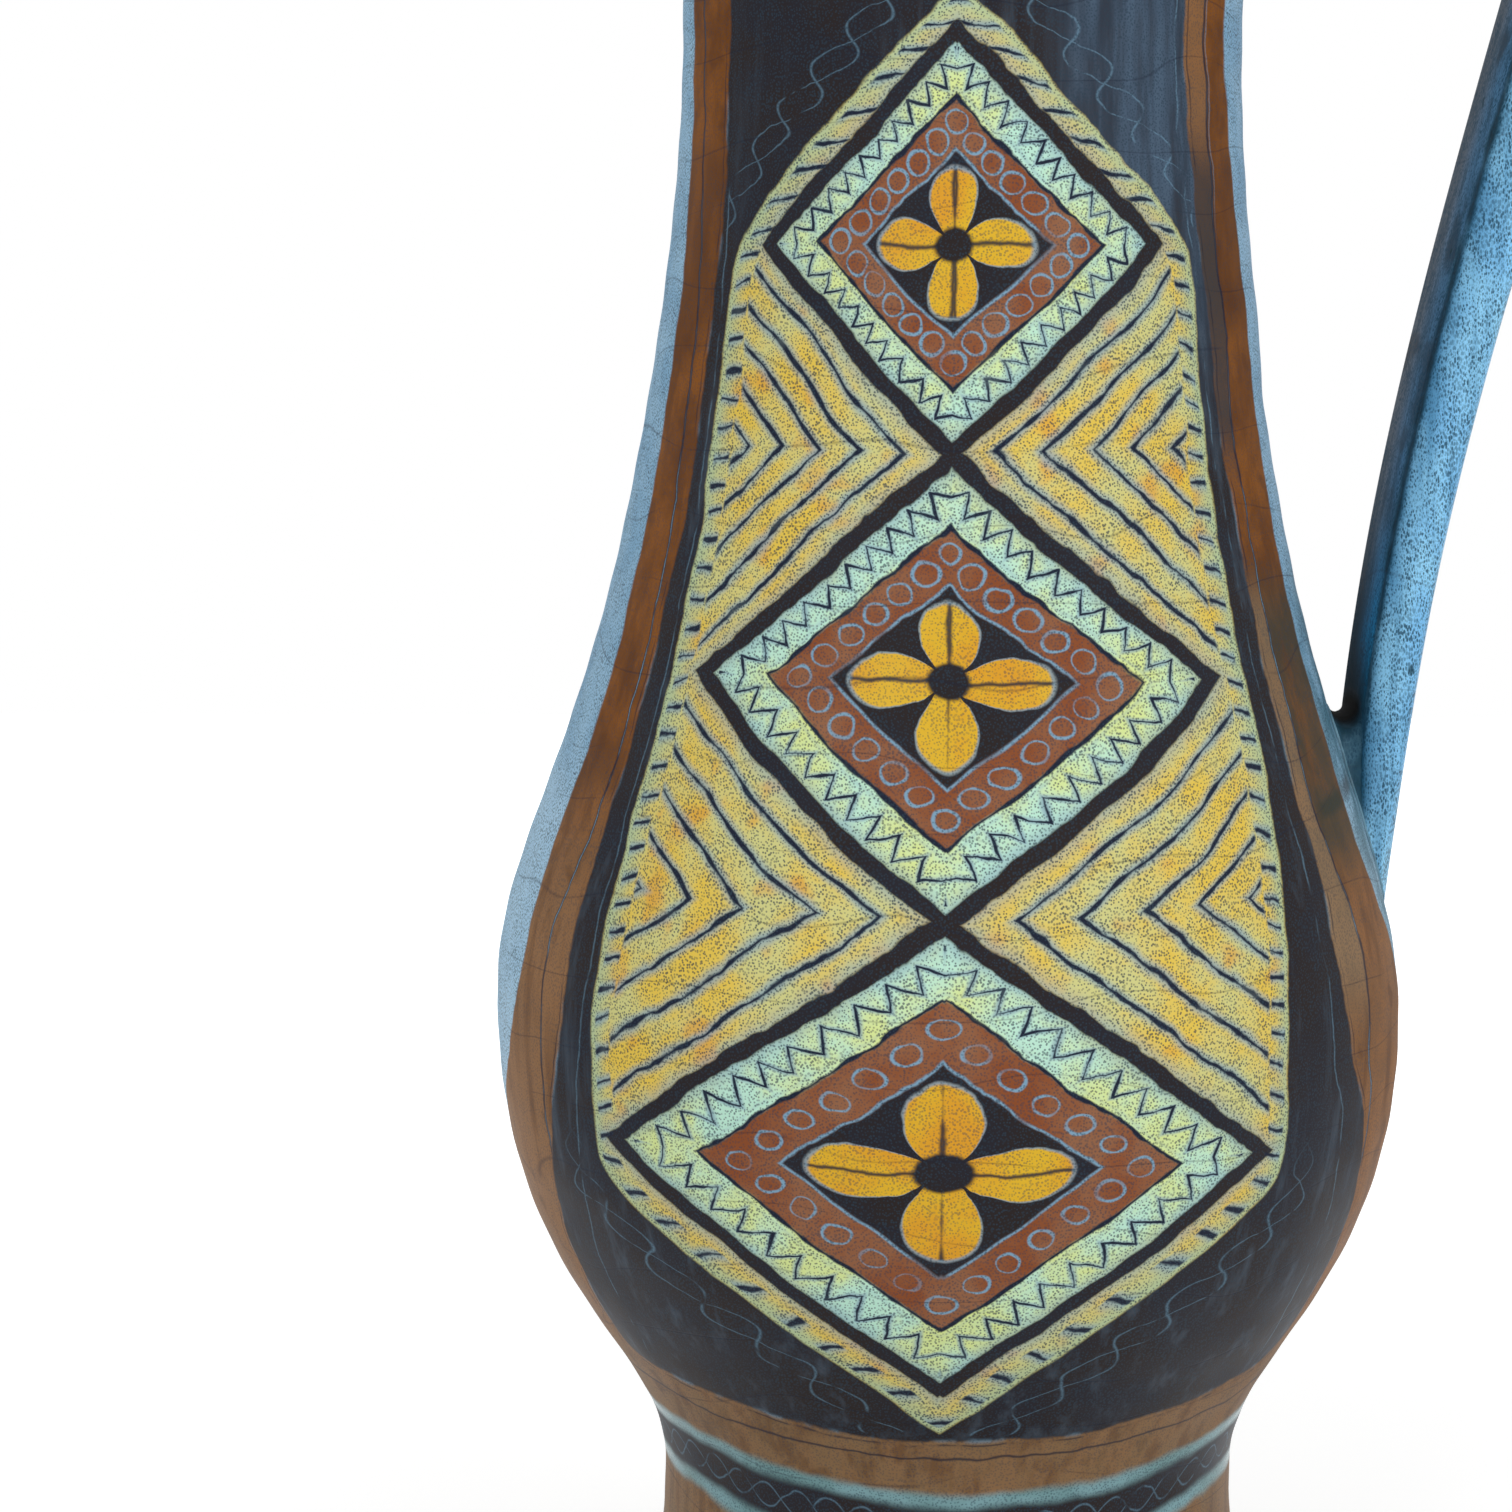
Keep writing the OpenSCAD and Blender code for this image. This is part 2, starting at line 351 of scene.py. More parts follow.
    def washes(self, color: Input, layers: Sequence[tuple[Input, Input]]) -> Input:
        """Lays one wash after another over a colour.

        Args:
            color: The colour underneath.
            layers: The mask and the colour of each wash, from the lowest up.

        Returns:
            The colour on top.
        """
        for mask, wash in layers:
            color = self.blend(mask, color, wash)
        return color

    def use(self, tree: NodeTree, **values: Input) -> Node:
        """Places a node group and feeds its inputs by name."""
        return self.node("Group", values, node_tree=tree)

    def out(self, node: Node, name: str) -> Field:
        """One output of a node as a field."""
        return Field(self, node.outputs[name])

    def drawn(self, tree: NodeTree, name: str, **values: Input) -> Field:
        """Places a node group, feeds its inputs by name, and takes one of its outputs."""
        return self.out(self.use(tree, **values), name)


FLOAT = "NodeSocketFloat"
VECTOR = "NodeSocketVector"
COLOR = "NodeSocketColor"


def stipple_group() -> NodeTree:
    """Draws the dark dots that the blue base glaze throws up through every paint, on a flat point.

    Returns:
        The node group.
    """
    sketch = Sketch.group("stipple", {"Point": VECTOR, "Spacing": FLOAT}, {"Dots": FLOAT})
    point = sketch.given("Point")
    scale = sketch.math("DIVIDE", 1.0, sketch.given("Spacing"))
    feeds = {"Vector": point, "Scale": scale, "Randomness": 1.0}
    near = sketch.value("TexVoronoi", feeds, "Distance", feature="F1", voronoi_dimensions="2D")
    reach = sketch.noise(point, 6.0, 4.0, 0.6).ramp(0.30, 0.70, 0.20, 0.37)
    weight = sketch.noise(point, 1.7, 1.0).ramp(0.34, 0.60, 0.55, 1.0)
    sketch.give(Dots=(near - reach).ramp(0.11, -0.09) * weight)
    return sketch.tree


def grain_group() -> NodeTree:
    """Draws the fired glaze's skin: its fine relief and the drift of its gloss.

    Returns:
        The node group.
    """
    sketch = Sketch.group("glaze_grain", {"Point": VECTOR}, {"Relief": FLOAT, "Drift": FLOAT})
    point = sketch.given("Point")
    peel = sketch.noise(point, 1.3, 2.0)
    pores = sketch.noise(point, 0.35, 1.0)
    patches = sketch.noise(point, 22.0, 3.0)
    sketch.give(Relief=peel * 0.7 + pores * 0.3, Drift=patches.ramp(0.3, 0.7))
    return sketch.tree


def throwing_group() -> NodeTree:
    """Draws the thin lines that the potter's fingers left round the wall, broken here and there.

    Returns:
        The node group.
    """
    sketch = Sketch.group("throwing_lines", {"Point": VECTOR, "Pitch": FLOAT}, {"Lines": FLOAT})
    point, pitch = sketch.given("Point"), sketch.given("Pitch")
    height = sketch.split(point)[2]
    drift = sketch.noise(point, 48.0, 1.0, up=2.0) * 22.0
    away = (sketch.math("FRACT", (height + drift) / pitch) - 0.5) * pitch
    broken = sketch.noise(point, 17.0, 2.0, up=3.0)
    sketch.give(Lines=away.line(0.12, 0.14) * broken.ramp(0.32, 0.52))
    return sketch.tree


# Finishes


@dataclass(frozen=True)
class Paint:
    """A glaze or bare clay, clouded between two tints, with the specks that show through it."""

    main: Colour
    second: Colour
    speckle: float
    roughness: float


@dataclass(frozen=True)
class Palette:
    """The jug's glazes, clay and slip, and the colours that scratched lines, wear and painted sheen show.
    """

    blue: Paint = Paint(tint("9ac2dd"), tint("84b0cf"), 0.80, 0.60)
    brown: Paint = Paint(tint("8a5420"), tint("6a3e16"), 0.40, 0.72)
    dark: Paint = Paint(tint("272020"), tint("23222a"), 0.60, 0.64)
    ochre: Paint = Paint(tint("e9c852"), tint("d6d38c"), 0.80, 0.58)
    green: Paint = Paint(tint("c2ecd8"), tint("dcea9c"), 0.74, 0.58)
    sienna: Paint = Paint(tint("8a4c2a"), tint("946548"), 0.55, 0.58)
    yellow: Paint = Paint(tint("e2b62e"), tint("df9f2a"), 0.50, 0.38)
    ring: Paint = Paint(tint("80a7ad"), tint("6d9496"), 0.50, 0.38)
    clay: Paint = Paint(tint("b39a7c"), tint("97795a"), 0.25, 0.78)
    slip: Paint = Paint(tint("86adc0"), tint("5d8598"), 0.25, 0.78)
    low_blue: Colour = tint("bcdff6")
    foot_brown: Colour = tint("83694a")
    low_brown: Colour = tint("9a7654")
    grey_brown: Colour = tint("413f3e")
    brushed_brown: Colour = tint("55331a")
    rubbed_brown: Colour = tint("90836b")
    green_wash: Colour = tint("2e3d35")
    smudge: Colour = tint("3c2a1a")
    smear: Colour = tint("3c6674")
    # Painted sheen on the dark on the right of the neck.
    neck_sheen: Colour = tint("5f7c98")
    # Streaks in the dark glaze, with painted sheen in them.
    streak_sheen: Colour = tint("4d5a68")
    mint: Colour = tint("b0c9a4")
    orange: Colour = tint("e2a33a")
    line_halo: Colour = tint("88a8ba")
    scratch_light: Colour = tint("7fabc6")
    scratch_dark: Colour = tint("161d30")
    stipple: Colour = tint("2b3d4c")
    grog: Colour = tint("6b4a33")


@dataclass(frozen=True)
class StrapTints:
    """The colours of the strap's blue glaze and of its inner face to the left and the right, and of the
    shade painted on it.
    """

    main: Colour = tint("9cdcff")
    second: Colour = tint("84c8f8")
    column: Colour = tint("5590b8")
    inner_left: Colour = tint("5b8cb2")
    inner_right: Colour = tint("7c8086")
    low_left: Colour = tint("2d94ca")
    low_right: Colour = tint("142a38")
    inner_cloud: Colour = tint("435666")
    inner_column: Colour = tint("244252")
    smudge: Colour = tint("2e2b28")
    # Web under the crotch: partly wiped slip, partly painted shade.
    web: Colour = tint("1c4252")
    # Painted shade beside the inner arrises.
    painted_arris_shade: Colour = tint("2f7098")
    spot: Colour = tint("1c3a3c")
    arris: Colour = tint("0f2129")
    dots: Colour = tint("22485e")
    # Painted shade, near black, deep in the crotch.
    crotch: Colour = tint("050607")


@dataclass(frozen=True)
class Lozenge:
    """One diamond of the panel: its middle's height, its half height, and its half width in degrees."""

    middle: float
    half_height: float
    half_width: float


@dataclass(frozen=True)
class StripePlan:
    """Upright stripes, as degrees from the middle of the front or the back.

    What ends in _rise or _fall gives the heights between which a change comes in, and what ends in
    _side gives the degrees.
    """

    centre: float = -1.6
    top_twist: float = 4.0
    twist_rise: Span = (238.0, 305.0)
    lean_side: Window = (20.0, 45.0, 58.0, 69.0)
    right_lean: float = 1.0
    right_lean_rise: Span = (212.0, 235.0)
    root_lean: float = 1.8
    root_lean_rise: Span = (118.0, 132.0)
    strap_side: Window = (40.0, 60.0, 100.0, 120.0)
    left_side: Span = (-20.0, -45.0)
    dark: float = 54.3
    dark_widening: float = 9.5
    dark_fall: Span = (150.0, 90.0)
    dark_narrows: float = 3.0
    narrow_rise: Span = (245.0, 300.0)
    left_wide: float = 1.4
    left_wide_rise: Window = (130.0, 150.0, 205.0, 228.0)
    dark_line: float = 51.4
    brown: float = 68.2
    brown_line: float = 58.3
    brown_line_top: float = 3.4
    line_rise: Span = (215.0, 305.0)
    line_spreads: float = 2.9
    line_fall: Span = (172.0, 146.0)
    blue_ends_from: float = 147.0
    blue_ends_over: float = 44.0
    blue_ends_round: float = 1.8
    blue_ends_wide: float = 22.0
    right_ends_early: float = 22.0
    top: float = 334.0
    top_fade: float = 8.0
    foot_rise: Span = (70.0, 82.0)
    corner: float = 9.0
    below_mouth_line: float = 5.0


@dataclass(frozen=True)
class WearPlan:
    """Where paint is brushed thick, wiped thin or smeared, is paler or greyer, or has sheen painted on.

    Pairs and windows are heights, or degrees for what ends in _side, apart from the smudge's, which
    are distances from its middle, and the smear's fade, which is in shares of its half sizes.
    """

    pale_blue: Span = (188.0, 164.0)
    pale_brown: Span = (188.0, 148.0)
    foot_brown: Span = (84.0, 66.0)
    thick_brown: Window = (246.0, 258.0, 278.0, 288.0)
    # Where the painted sheen in the dark's streaks is fainter, on the upper left.
    dimmer_sheen_side: Span = (0.0, -22.0)
    dimmer_sheen_dark: Span = (215.0, 245.0)
    # The right side, where sheen is painted on the dark and the brown is greyed and paled on the neck.
    right_stripe_side: Window = (12.0, 34.0, 60.0, 76.0)
    painted_sheen_dark: Span = (232.0, 280.0)
    greyed_brown: Window = (222.0, 240.0, 274.0, 296.0)
    pale_neck: Span = (276.0, 290.0)
    root_side: Window = (30.0, 45.0, 72.0, 82.0)
    below_root: Span = (216.0, 202.0)
    rubbed_brown: Span = (130.0, 150.0)
    washed_brown: Span = (154.0, 168.0)
    pale_line_side: Span = (30.0, 45.0)
    pale_line: Span = (264.0, 282.0)
    bright_groove: Span = (250.0, 200.0)
    glossy_foot: Span = (132.0, 92.0)
    smudge_aside: float = -29.5
    smudge_height: float = 172.4
    smudge_lean: float = 0.1
    smudge_half: Span = (2.2, 0.5)
    smudge_reach: Span = (17.0, 10.0)
    smear_height: float = 172.0
    smear_half_width: float = 36.0
    smear_half_height: float = 50.0
    smear_fade: Span = (1.1, 0.6)


@dataclass(frozen=True)
class BandPlan:
    """Bands round the foot and the mouth. Those of the foot were drawn freehand and dip at the front."""

    dark_end: float = 66.6
    dark_dip: float = 9.0
    thin_line: float = 63.2
    thin_dip: float = 6.0
    ring: float = 54.6
    ring_dip: float = 6.5
    ring_half: float = 1.35
    low_ring: float = 44.0
    toe_line: float = 12.0
    mouth_line: float = 343.0
    mouth_ring: float = 352.0
    mouth_dark_top: float = 369.0
    foot_wave: Span = (14.0, 2.2)
    foot_wave_drop: float = 5.2
    mouth_wave: Span = (16.0, 3.0)
    mouth_wave_rise: float = 8.5


@dataclass(frozen=True)
class PanelPlan:
    """The panel's column of diamonds, from the lowest up, and the steps of each from its middle."""

    diamonds: tuple[Lozenge, ...] = (
        Lozenge(118.0, 40.0, 43.0),
        Lozenge(195.0, 37.0, 39.5),
        Lozenge(266.0, 34.0, 37.5),
    )
    centre: float = -4.8
    half: float = 46.6
    corner: float = 6.0
    right_side: Window = (0.0, 12.0, 70.0, 105.0)
    right_rise: Span = (135.0, 182.0)
    right_narrow: float = 1.05
    right_wide: float = 0.94
    steep_low: float = 0.0295
    steep_top: float = 0.041
    tips: float = 1.24
    above_half_way: float = 1.5
    outline_half: float = 1.2
    green_line: float = 0.93
    green_to: float = 0.73
    sienna_to: float = 0.70
    sienna_line: float = 0.68
    core_to: float = 0.45
    petal: float = 0.37
    seed: float = 0.085
    teeth: float = 6.0
    tooth: float = 0.13
    chevron_step: float = 0.2
    chevrons_from: float = 1.12
    tick_step: float = 4.7
    beads: int = 6
    bead_radius: float = 1.9
    wave: Span = (13.0, 2.8)
    wave_away: float = 7.0
    wave_fall: Span = (120.0, 106.0)
    wave_rise: Span = (258.0, 270.0)


class PaintedWall:
    """The paint and scratched lines on the jug's outside, drawn as one node group."""

    SWAY = 2.8
    SHAKE = 1.1
    LIFT = 3.4

    def __init__(self, stipple: NodeTree, throwing: NodeTree) -> None:
        """Starts the group and reads the surface.

        Args:
            stipple: The group of dots that come through the paint.
            throwing: The group of thin lines round the wall.
        """
        outputs = {"Color": COLOR, "Roughness": FLOAT, "Relief": FLOAT}
        self.sketch = Sketch.group("painted_wall", {}, outputs)
        self.stipple, self.throwing = stipple, throwing
        self.palette, self.worn = Palette(), WearPlan()
        self.stripes, self.bands, self.plan = StripePlan(), BandPlan(), PanelPlan()
        self.color: Input = self.palette.blue.main
        self.speckle: Input = self.palette.blue.speckle
        self.rough: Input = self.palette.blue.roughness
        self._read_place()
        self._read_wear()

    def _read_place(self) -> None:
        """Finds the angles from the stripes' and the panel's middle, the height, and the unsteady hand."""
        sketch, stripes, plan = self.sketch, self.stripes, self.plan
        self.point, x, y, height = sketch.place()
        sway = sketch.noise(self.point, 16.0, 1.0) - 0.5
        shake = sketch.noise(self.point, 4.0, 2.0) - 0.5
        lift = sketch.noise(self.point, 17.0, 2.0, up=-1.0) - 0.5
        self.per_degree = sketch.hypot(x, y) * math.radians(1)
        angle = sketch.math("ARCTAN2", x, y * -1.0) * math.degrees(1)
        self.flat = sketch.flat(angle * self.per_degree, height)
        self.from_strap = (angle - STRAP_ANGLE) * self.per_degree
        self.true_height = height
        self.height = height + lift * self.LIFT + shake
        wander = (sway * self.SWAY + shake * self.SHAKE) / self.per_degree
        turned = angle - stripes.centre + height.ramp(*stripes.twist_rise, 0.0, stripes.top_twist)
        lean = height.ramp(*stripes.right_lean_rise) * stripes.right_lean
        lean = lean + height.ramp(*stripes.root_lean_rise) * stripes.root_lean
        self.turned = turned + turned.within(*stripes.lean_side) * lean
        self.on_right = self.turned.within(*stripes.strap_side)
        self.round = self._folded(self.turned, wander)
        aside = angle - plan.centre
        squeeze = height.ramp(*plan.right_rise, plan.right_narrow, plan.right_wide) - 1.0
        aside = aside * (aside.within(*plan.right_side) * squeeze + 1.0)
        self.aside = self._folded(aside, wander)
        self.dip = (1.0 - sketch.math("COSINE", self.round * math.radians(2))) * 0.5

    def _folded(self, angle: Field, wander: Field) -> Field:
        """An angle from the nearer of the front and the back, without a sign, and the hand's wander."""
        return abs(90.0 - abs(90.0 - abs(angle)) + wander)

    def _read_wear(self) -> None:
        """Makes the clouds, streaks and presses of the hand that the layers share."""
        sketch, point = self.sketch, self.point
        self.cloud = sketch.noise(point, 13.0, 4.0, 0.6).ramp(0.36, 0.66)
        self.smear = sketch.noise(point, 5.0, 3.0, 0.6, up=0.35)
        self.streak = sketch.noise(point, 4.5, 4.0, 0.65, up=0.12)
        self.wear = sketch.noise(point, 7.0, 2.0)
        self.press = sketch.noise(point, 4.5, 2.0).ramp(0.3, 0.7, 0.16, 0.50)
        self.drift = sketch.noise(point, 24.0, 1.0) - 0.5

    def _lay(self, mask: Field, paint: Paint) -> None:
        """Lays a glaze over what is there.

        Args:
            mask: Where it lies.
            paint: The glaze.
        """
        shade = self.sketch.blend(self.cloud, paint.main, paint.second)
        self.color = self.sketch.blend(mask, self.color, shade)
        self.speckle = mask * (paint.speckle - self.speckle) + self.speckle
        self.rough = mask * (paint.roughness - self.rough) + self.rough

    def _draw(self, mask: Field, colour: Colour) -> None:
        """Draws a plain colour over what is there, inside a mask."""
        self.color = self.sketch.blend(mask, self.color, colour)

    def _along(self, degrees: Input) -> Field:
        """How far along the wall, in millimetres, a place is outside an angle from the stripes' middle."""
        return (self.round - degrees) * self.per_degree

    def _twist(self, middle: Field, swing: Field, half: float) -> Field:
        """Two thin waves, twisted round a middle line."""
        return (middle - swing).line(half).high((middle + swing).line(half))

    def _lay_ground(self) -> None:
        """Lays the blue base and the brown stripes, with the marks of the brush and the cloth on them."""
        plan, worn, palette, height = self.stripes, self.worn, self.palette, self.height
        base = self.sketch.blend(self.cloud, palette.blue.main, palette.blue.second)
        self.color = self.sketch.blend(height.ramp(*worn.pale_blue) * 0.6, base, palette.low_blue)
        self._smear_root()
        closing = self.on_right * plan.right_ends_early + plan.blue_ends_from - height
        closing = (closing / plan.blue_ends_over).high(0.0).power(plan.blue_ends_round)
        sides = self._along(closing * plan.blue_ends_wide + plan.brown)
        mouth = self.bands.mouth_line - plan.below_mouth_line
        self.brown = sides.soft_low(mouth - height, plan.corner).inside(0.5)
        self._lay(self.brown, palette.brown)
        pale = self.brown * height.ramp(*worn.pale_brown)
        self._draw(pale * (0.75 - self.on_right * 0.3), palette.low_brown)
        on_foot = self.brown * height.ramp(*worn.foot_brown)
        self._draw(on_foot * self.smear.ramp(0.3, 0.7, 0.45, 0.85), palette.foot_brown)
        brushed = self.streak.ramp(0.46, 0.70, 0.0, 0.5).high(self.wear.ramp(0.58, 0.72, 0.0, 0.5))
        thick = height.within(*worn.thick_brown) * self.smear.ramp(0.3, 0.6, 0.35, 0.7)
        self._draw(self.brown * brushed.high(thick), palette.brushed_brown)
        self._smudge()

    def _smear_root(self) -> None:
        """Darkens the blue where slip was wiped round the strap's lower root."""
        worn = self.worn
        aside = self.from_strap / worn.smear_half_width
        up = (self.true_height - worn.smear_height) / worn.smear_half_height
        wiped = self.sketch.noise(self.point, 6.0, 4.0, 0.65, up=0.5).ramp(0.30, 0.58, 0.2, 0.85)
        self._draw(self.sketch.hypot(aside, up).ramp(*worn.smear_fade) * wiped, self.palette.smear)

    def _smudge(self) -> None:
        """Wipes one short dark stroke over the brown beside the strap's root."""
        worn = self.worn
        along = self.from_strap - worn.smudge_aside
        ragged = (self.smear - 0.5) * 1.2
        across = self.true_height - worn.smudge_height - along * worn.smudge_lean + ragged
        stroke = abs(across).ramp(*worn.smudge_half) * abs(along).ramp(*worn.smudge_reach)
        stroke = stroke * self.smear.ramp(0.3, 0.5, 0.5, 0.85)
        self._draw(stroke * self.brown.high(0.7), self.palette.smudge)

    def _lay_dark(self) -> None:
        """Lays the dark stripes inside the brown ones, with their streaks, painted sheen and worn edges.
        """
        plan, worn, palette, height = self.stripes, self.worn, self.palette, self.height
        on_left = self.turned.ramp(*plan.left_side)
        reach = height.ramp(*plan.dark_fall, 0.0, plan.dark_widening) + plan.dark
        reach = reach - on_left * height.ramp(*plan.narrow_rise) * plan.dark_narrows
        reach = reach + on_left * height.within(*plan.left_wide_rise) * plan.left_wide
        foot_edge = self.dip * self.bands.dark_dip + self.bands.dark_end
        sides = self._along(reach).soft_high(foot_edge - height, plan.corner)
        self.dark_away = sides.soft_high(height - plan.top, plan.corner)
        self.dark = self.dark_away.inside(0.4)
        self._lay(self.dark, palette.dark)
        # Bluish-grey streaks on the dark: partly streaky glaze, partly painted sheen, fainter on the upper
        # left.
        dimmer_sheen = self.turned.ramp(*worn.dimmer_sheen_side) * height.ramp(*worn.dimmer_sheen_dark)
        self._draw(self.streak.ramp(0.50, 0.76) * self.dark * (0.6 - dimmer_sheen * 0.4), palette.streak_sheen)
        gap = self.dark_away.line(0.3, 0.5) * self.smear.ramp(0.50, 0.70)
        self._draw(gap * 0.45, palette.scratch_light)

    def _wear_and_sheen(self) -> None:
        """Paints sheen on the dark on the right of the neck, greys and pales the brown there, and rubs and
        darkens the brown beside the strap's root.
        """
        plan, worn, palette, height = self.stripes, self.worn, self.palette, self.height
        top_line = plan.brown_line + plan.brown_line_top
        line_at = height.ramp(*plan.line_rise, plan.brown_line, top_line)
        self.groove = self._along(line_at + height.ramp(*plan.line_fall) * plan.line_spreads)
        bare = self.brown * (1.0 - self.dark)
        inner = self.groove.inside(0.8) * bare
        outer = (self.groove * -1.0).inside(0.8) * bare
        wiped = self.turned.within(*worn.right_stripe_side)
        # Painted sheen on the dark on the right of the neck.
        painted_sheen = wiped * height.ramp(*worn.painted_sheen_dark) * self.streak.ramp(0.30, 0.60, 0.25, 0.9)
        self._draw(painted_sheen * self.dark * 0.5, palette.neck_sheen)
        self._draw(inner * wiped * height.within(*worn.greyed_brown) * 0.8, palette.grey_brown)
        self._draw(inner * wiped * height.ramp(*worn.pale_neck) * 0.5, palette.low_brown)
        beside = self.turned.within(*worn.root_side) * height.ramp(*worn.below_root)
        self._draw(inner * beside * height.ramp(*worn.rubbed_brown) * 0.5, palette.rubbed_brown)
        washed = beside * height.ramp(*worn.washed_brown) * self.smear.ramp(0.3, 0.55, 0.35, 0.65)
        self._draw(outer * washed, palette.green_wash)

    def _lay_panel(self) -> None:
        """Lays the ochre panel and its column of diamonds."""
        plan, palette, height = self.plan, self.palette, self.height
        self._read_diamonds()
        low, top = plan.diamonds[0], plan.diamonds[-1]
        foot_tip = self.aside / low.half_width + (low.middle - height) / low.half_height
        head_tip = self.aside / top.half_width + (height - top.middle) / top.half_height
        ends = ((foot_tip - plan.tips) / plan.steep_low).high((head_tip - plan.tips) / plan.steep_top)
        self.panel_away = ends.soft_high((self.aside - plan.half) * self.per_degree, plan.corner)
        panel = self.panel_away.inside(0.5)
        self._lay(panel, palette.ochre)
        blotch = self.sketch.noise(self.point, 8.0, 2.0).ramp(0.56, 0.74)
        self._draw(blotch * panel * 0.7, palette.orange)
        self._draw(self.panel_away.ramp(-5.0, 0.0) * self.panel_away.inside(0.4) * 0.8, palette.mint)
        self._lay(self._from_step(1.0).inside(), palette.green)
        self._lay(self._from_step(plan.sienna_to).inside(0.5), palette.sienna)
        self._lay(self._from_step(plan.core_to).inside(0.6), palette.dark)

    def _read_diamonds(self) -> None:
        """Finds the step of its diamond that a place is on, and how far across and up that it lies."""
        plan, height = self.plan, self.height
        low, middle, top = plan.diamonds
        rises = [abs(height - d.middle) / d.half_height for d in plan.diamonds]
        steps = [self.aside / d.half_width + rise for d, rise in zip(plan.diamonds, rises)]
        self.step = reduce(Field.low, steps)
        self.steep = height.ramp(low.middle, top.middle, plan.steep_low, plan.steep_top)
        first = height.above((low.middle + middle.middle) / 2 + plan.above_half_way)
        second = height.above((middle.middle + top.middle) / 2 + plan.above_half_way)

        def own(at_low: float, at_middle: float, at_top: float) -> Field:
            """A size of the diamond that a place is in."""
            return first * (at_middle - at_low) + second * (at_top - at_middle) + at_low

        self.across = self.aside / own(*(d.half_width for d in plan.diamonds))
        centre = own(*(d.middle for d in plan.diamonds))
        self.upward = (height - centre) / own(*(d.half_height for d in plan.diamonds))

    def _from_step(self, level: float) -> Field:
        """How far, in millimetres, a place is outside one step of its diamond."""
        return (self.step - level) / self.steep

    def _draw_panel(self) -> None:
        """Draws the diamonds' outlines, rosettes, zigzags and the chevrons between them."""
        plan, palette, away = self.plan, self.palette, self.panel_away
        self._draw_rosette()
        panel = away.inside(0.3)
        outline = self._from_step(1.0).line(self.press * 0.9 + plan.outline_half, 0.3) * panel
        self._lay(outline, palette.dark)
        along = self.across - abs(self.upward)
        zigzag = abs(along.saw(1 / plan.teeth)) * (2 * plan.teeth) - 0.5
        teeth = (self.step - (1.0 + plan.sienna_to) / 2 - zigzag * plan.tooth) / self.steep
        chevrons = (self.step - 1.0 + self.drift * 0.12).saw(plan.chevron_step) / self.steep
        ticks = (self.height + self.drift * 6.0).saw(plan.tick_step) + away * 0.25
        off_red = 1.0 - self._from_step(plan.green_to).inside(0.2)
        outside = 1.0 - self._from_step(plan.chevrons_from).inside(0.1)
        families = (
            (teeth, self._from_step(plan.green_line).inside(0.2) * off_red),
            (chevrons, outside * away.ramp(-4.4, -5.2)),
            (ticks, away.within(-4.8, -4.2, -1.2, -0.6)),
            (self._from_step(plan.sienna_to), panel),
        )
        cut = reduce(Field.high, [line.line(self.press, 0.2) * where for line, where in families])
        halo = reduce(Field.high, [line.close(1.8) * where for line, where in families])
        halo = halo.high(self._from_step(1.0).close(4.5)) * panel
        halo = halo * (1.0 - self._from_step(plan.green_to).inside()) * (1.0 - outline)
        self._draw(halo * 0.8, palette.line_halo)
        self._draw(cut * panel * self.wear.ramp(0.2, 0.4, 0.75, 1.0), palette.scratch_dark)
        self.cut = cut.high(self._draw_beads(along))

    def _draw_beads(self, along: Field) -> Field:
        """Scratches a row of rings into the red brown of each diamond, and a line round its dark core.

        Args:
            along: How far a place is along the diamond's side.

        Returns:
            The mask of the scratches.
        """
        plan = self.plan
        middle = (plan.sienna_to + plan.core_to) / 2
        run = (along - middle).saw(2 * middle / plan.beads) / self.steep
        bead = self.sketch.hypot(run, self._from_step(middle)) - plan.bead_radius
        light = bead.line(self.press * 0.6, 0.16).high(self._from_step(plan.core_to).line(0.22))
        light = light * self._from_step(plan.sienna_line).inside(0.3)
        self._draw(light * self.wear.ramp(0.3, 0.5, 0.25, 0.9), self.palette.scratch_light)
        return light

    def _draw_rosette(self) -> None:
        """Draws the four-petalled rosette in the middle of each diamond."""
        palette, sketch = self.palette, self.sketch
        reach = sketch.hypot(self.across, self.upward)
        turn = sketch.math("ARCTAN2", self.upward, self.across)
        lobe = abs(sketch.math("COSINE", turn * 2.0)).power(0.75) * self.plan.petal
        petal = (reach - lobe) / self.steep
        rib = self.across.low(abs(self.upward)) / self.steep
        seed = (reach - self.plan.seed) / self.steep
        self._lay(petal.inside(0.4), palette.yellow)
        self._draw(rib.line(0.25) * petal.inside(0.2) * 0.9, palette.scratch_dark)
        self._lay(seed.inside(), palette.dark)
        self._draw(petal.line(0.2, 0.25) * (1.0 - (seed - 0.8).inside()) * 0.65, palette.scratch_light)

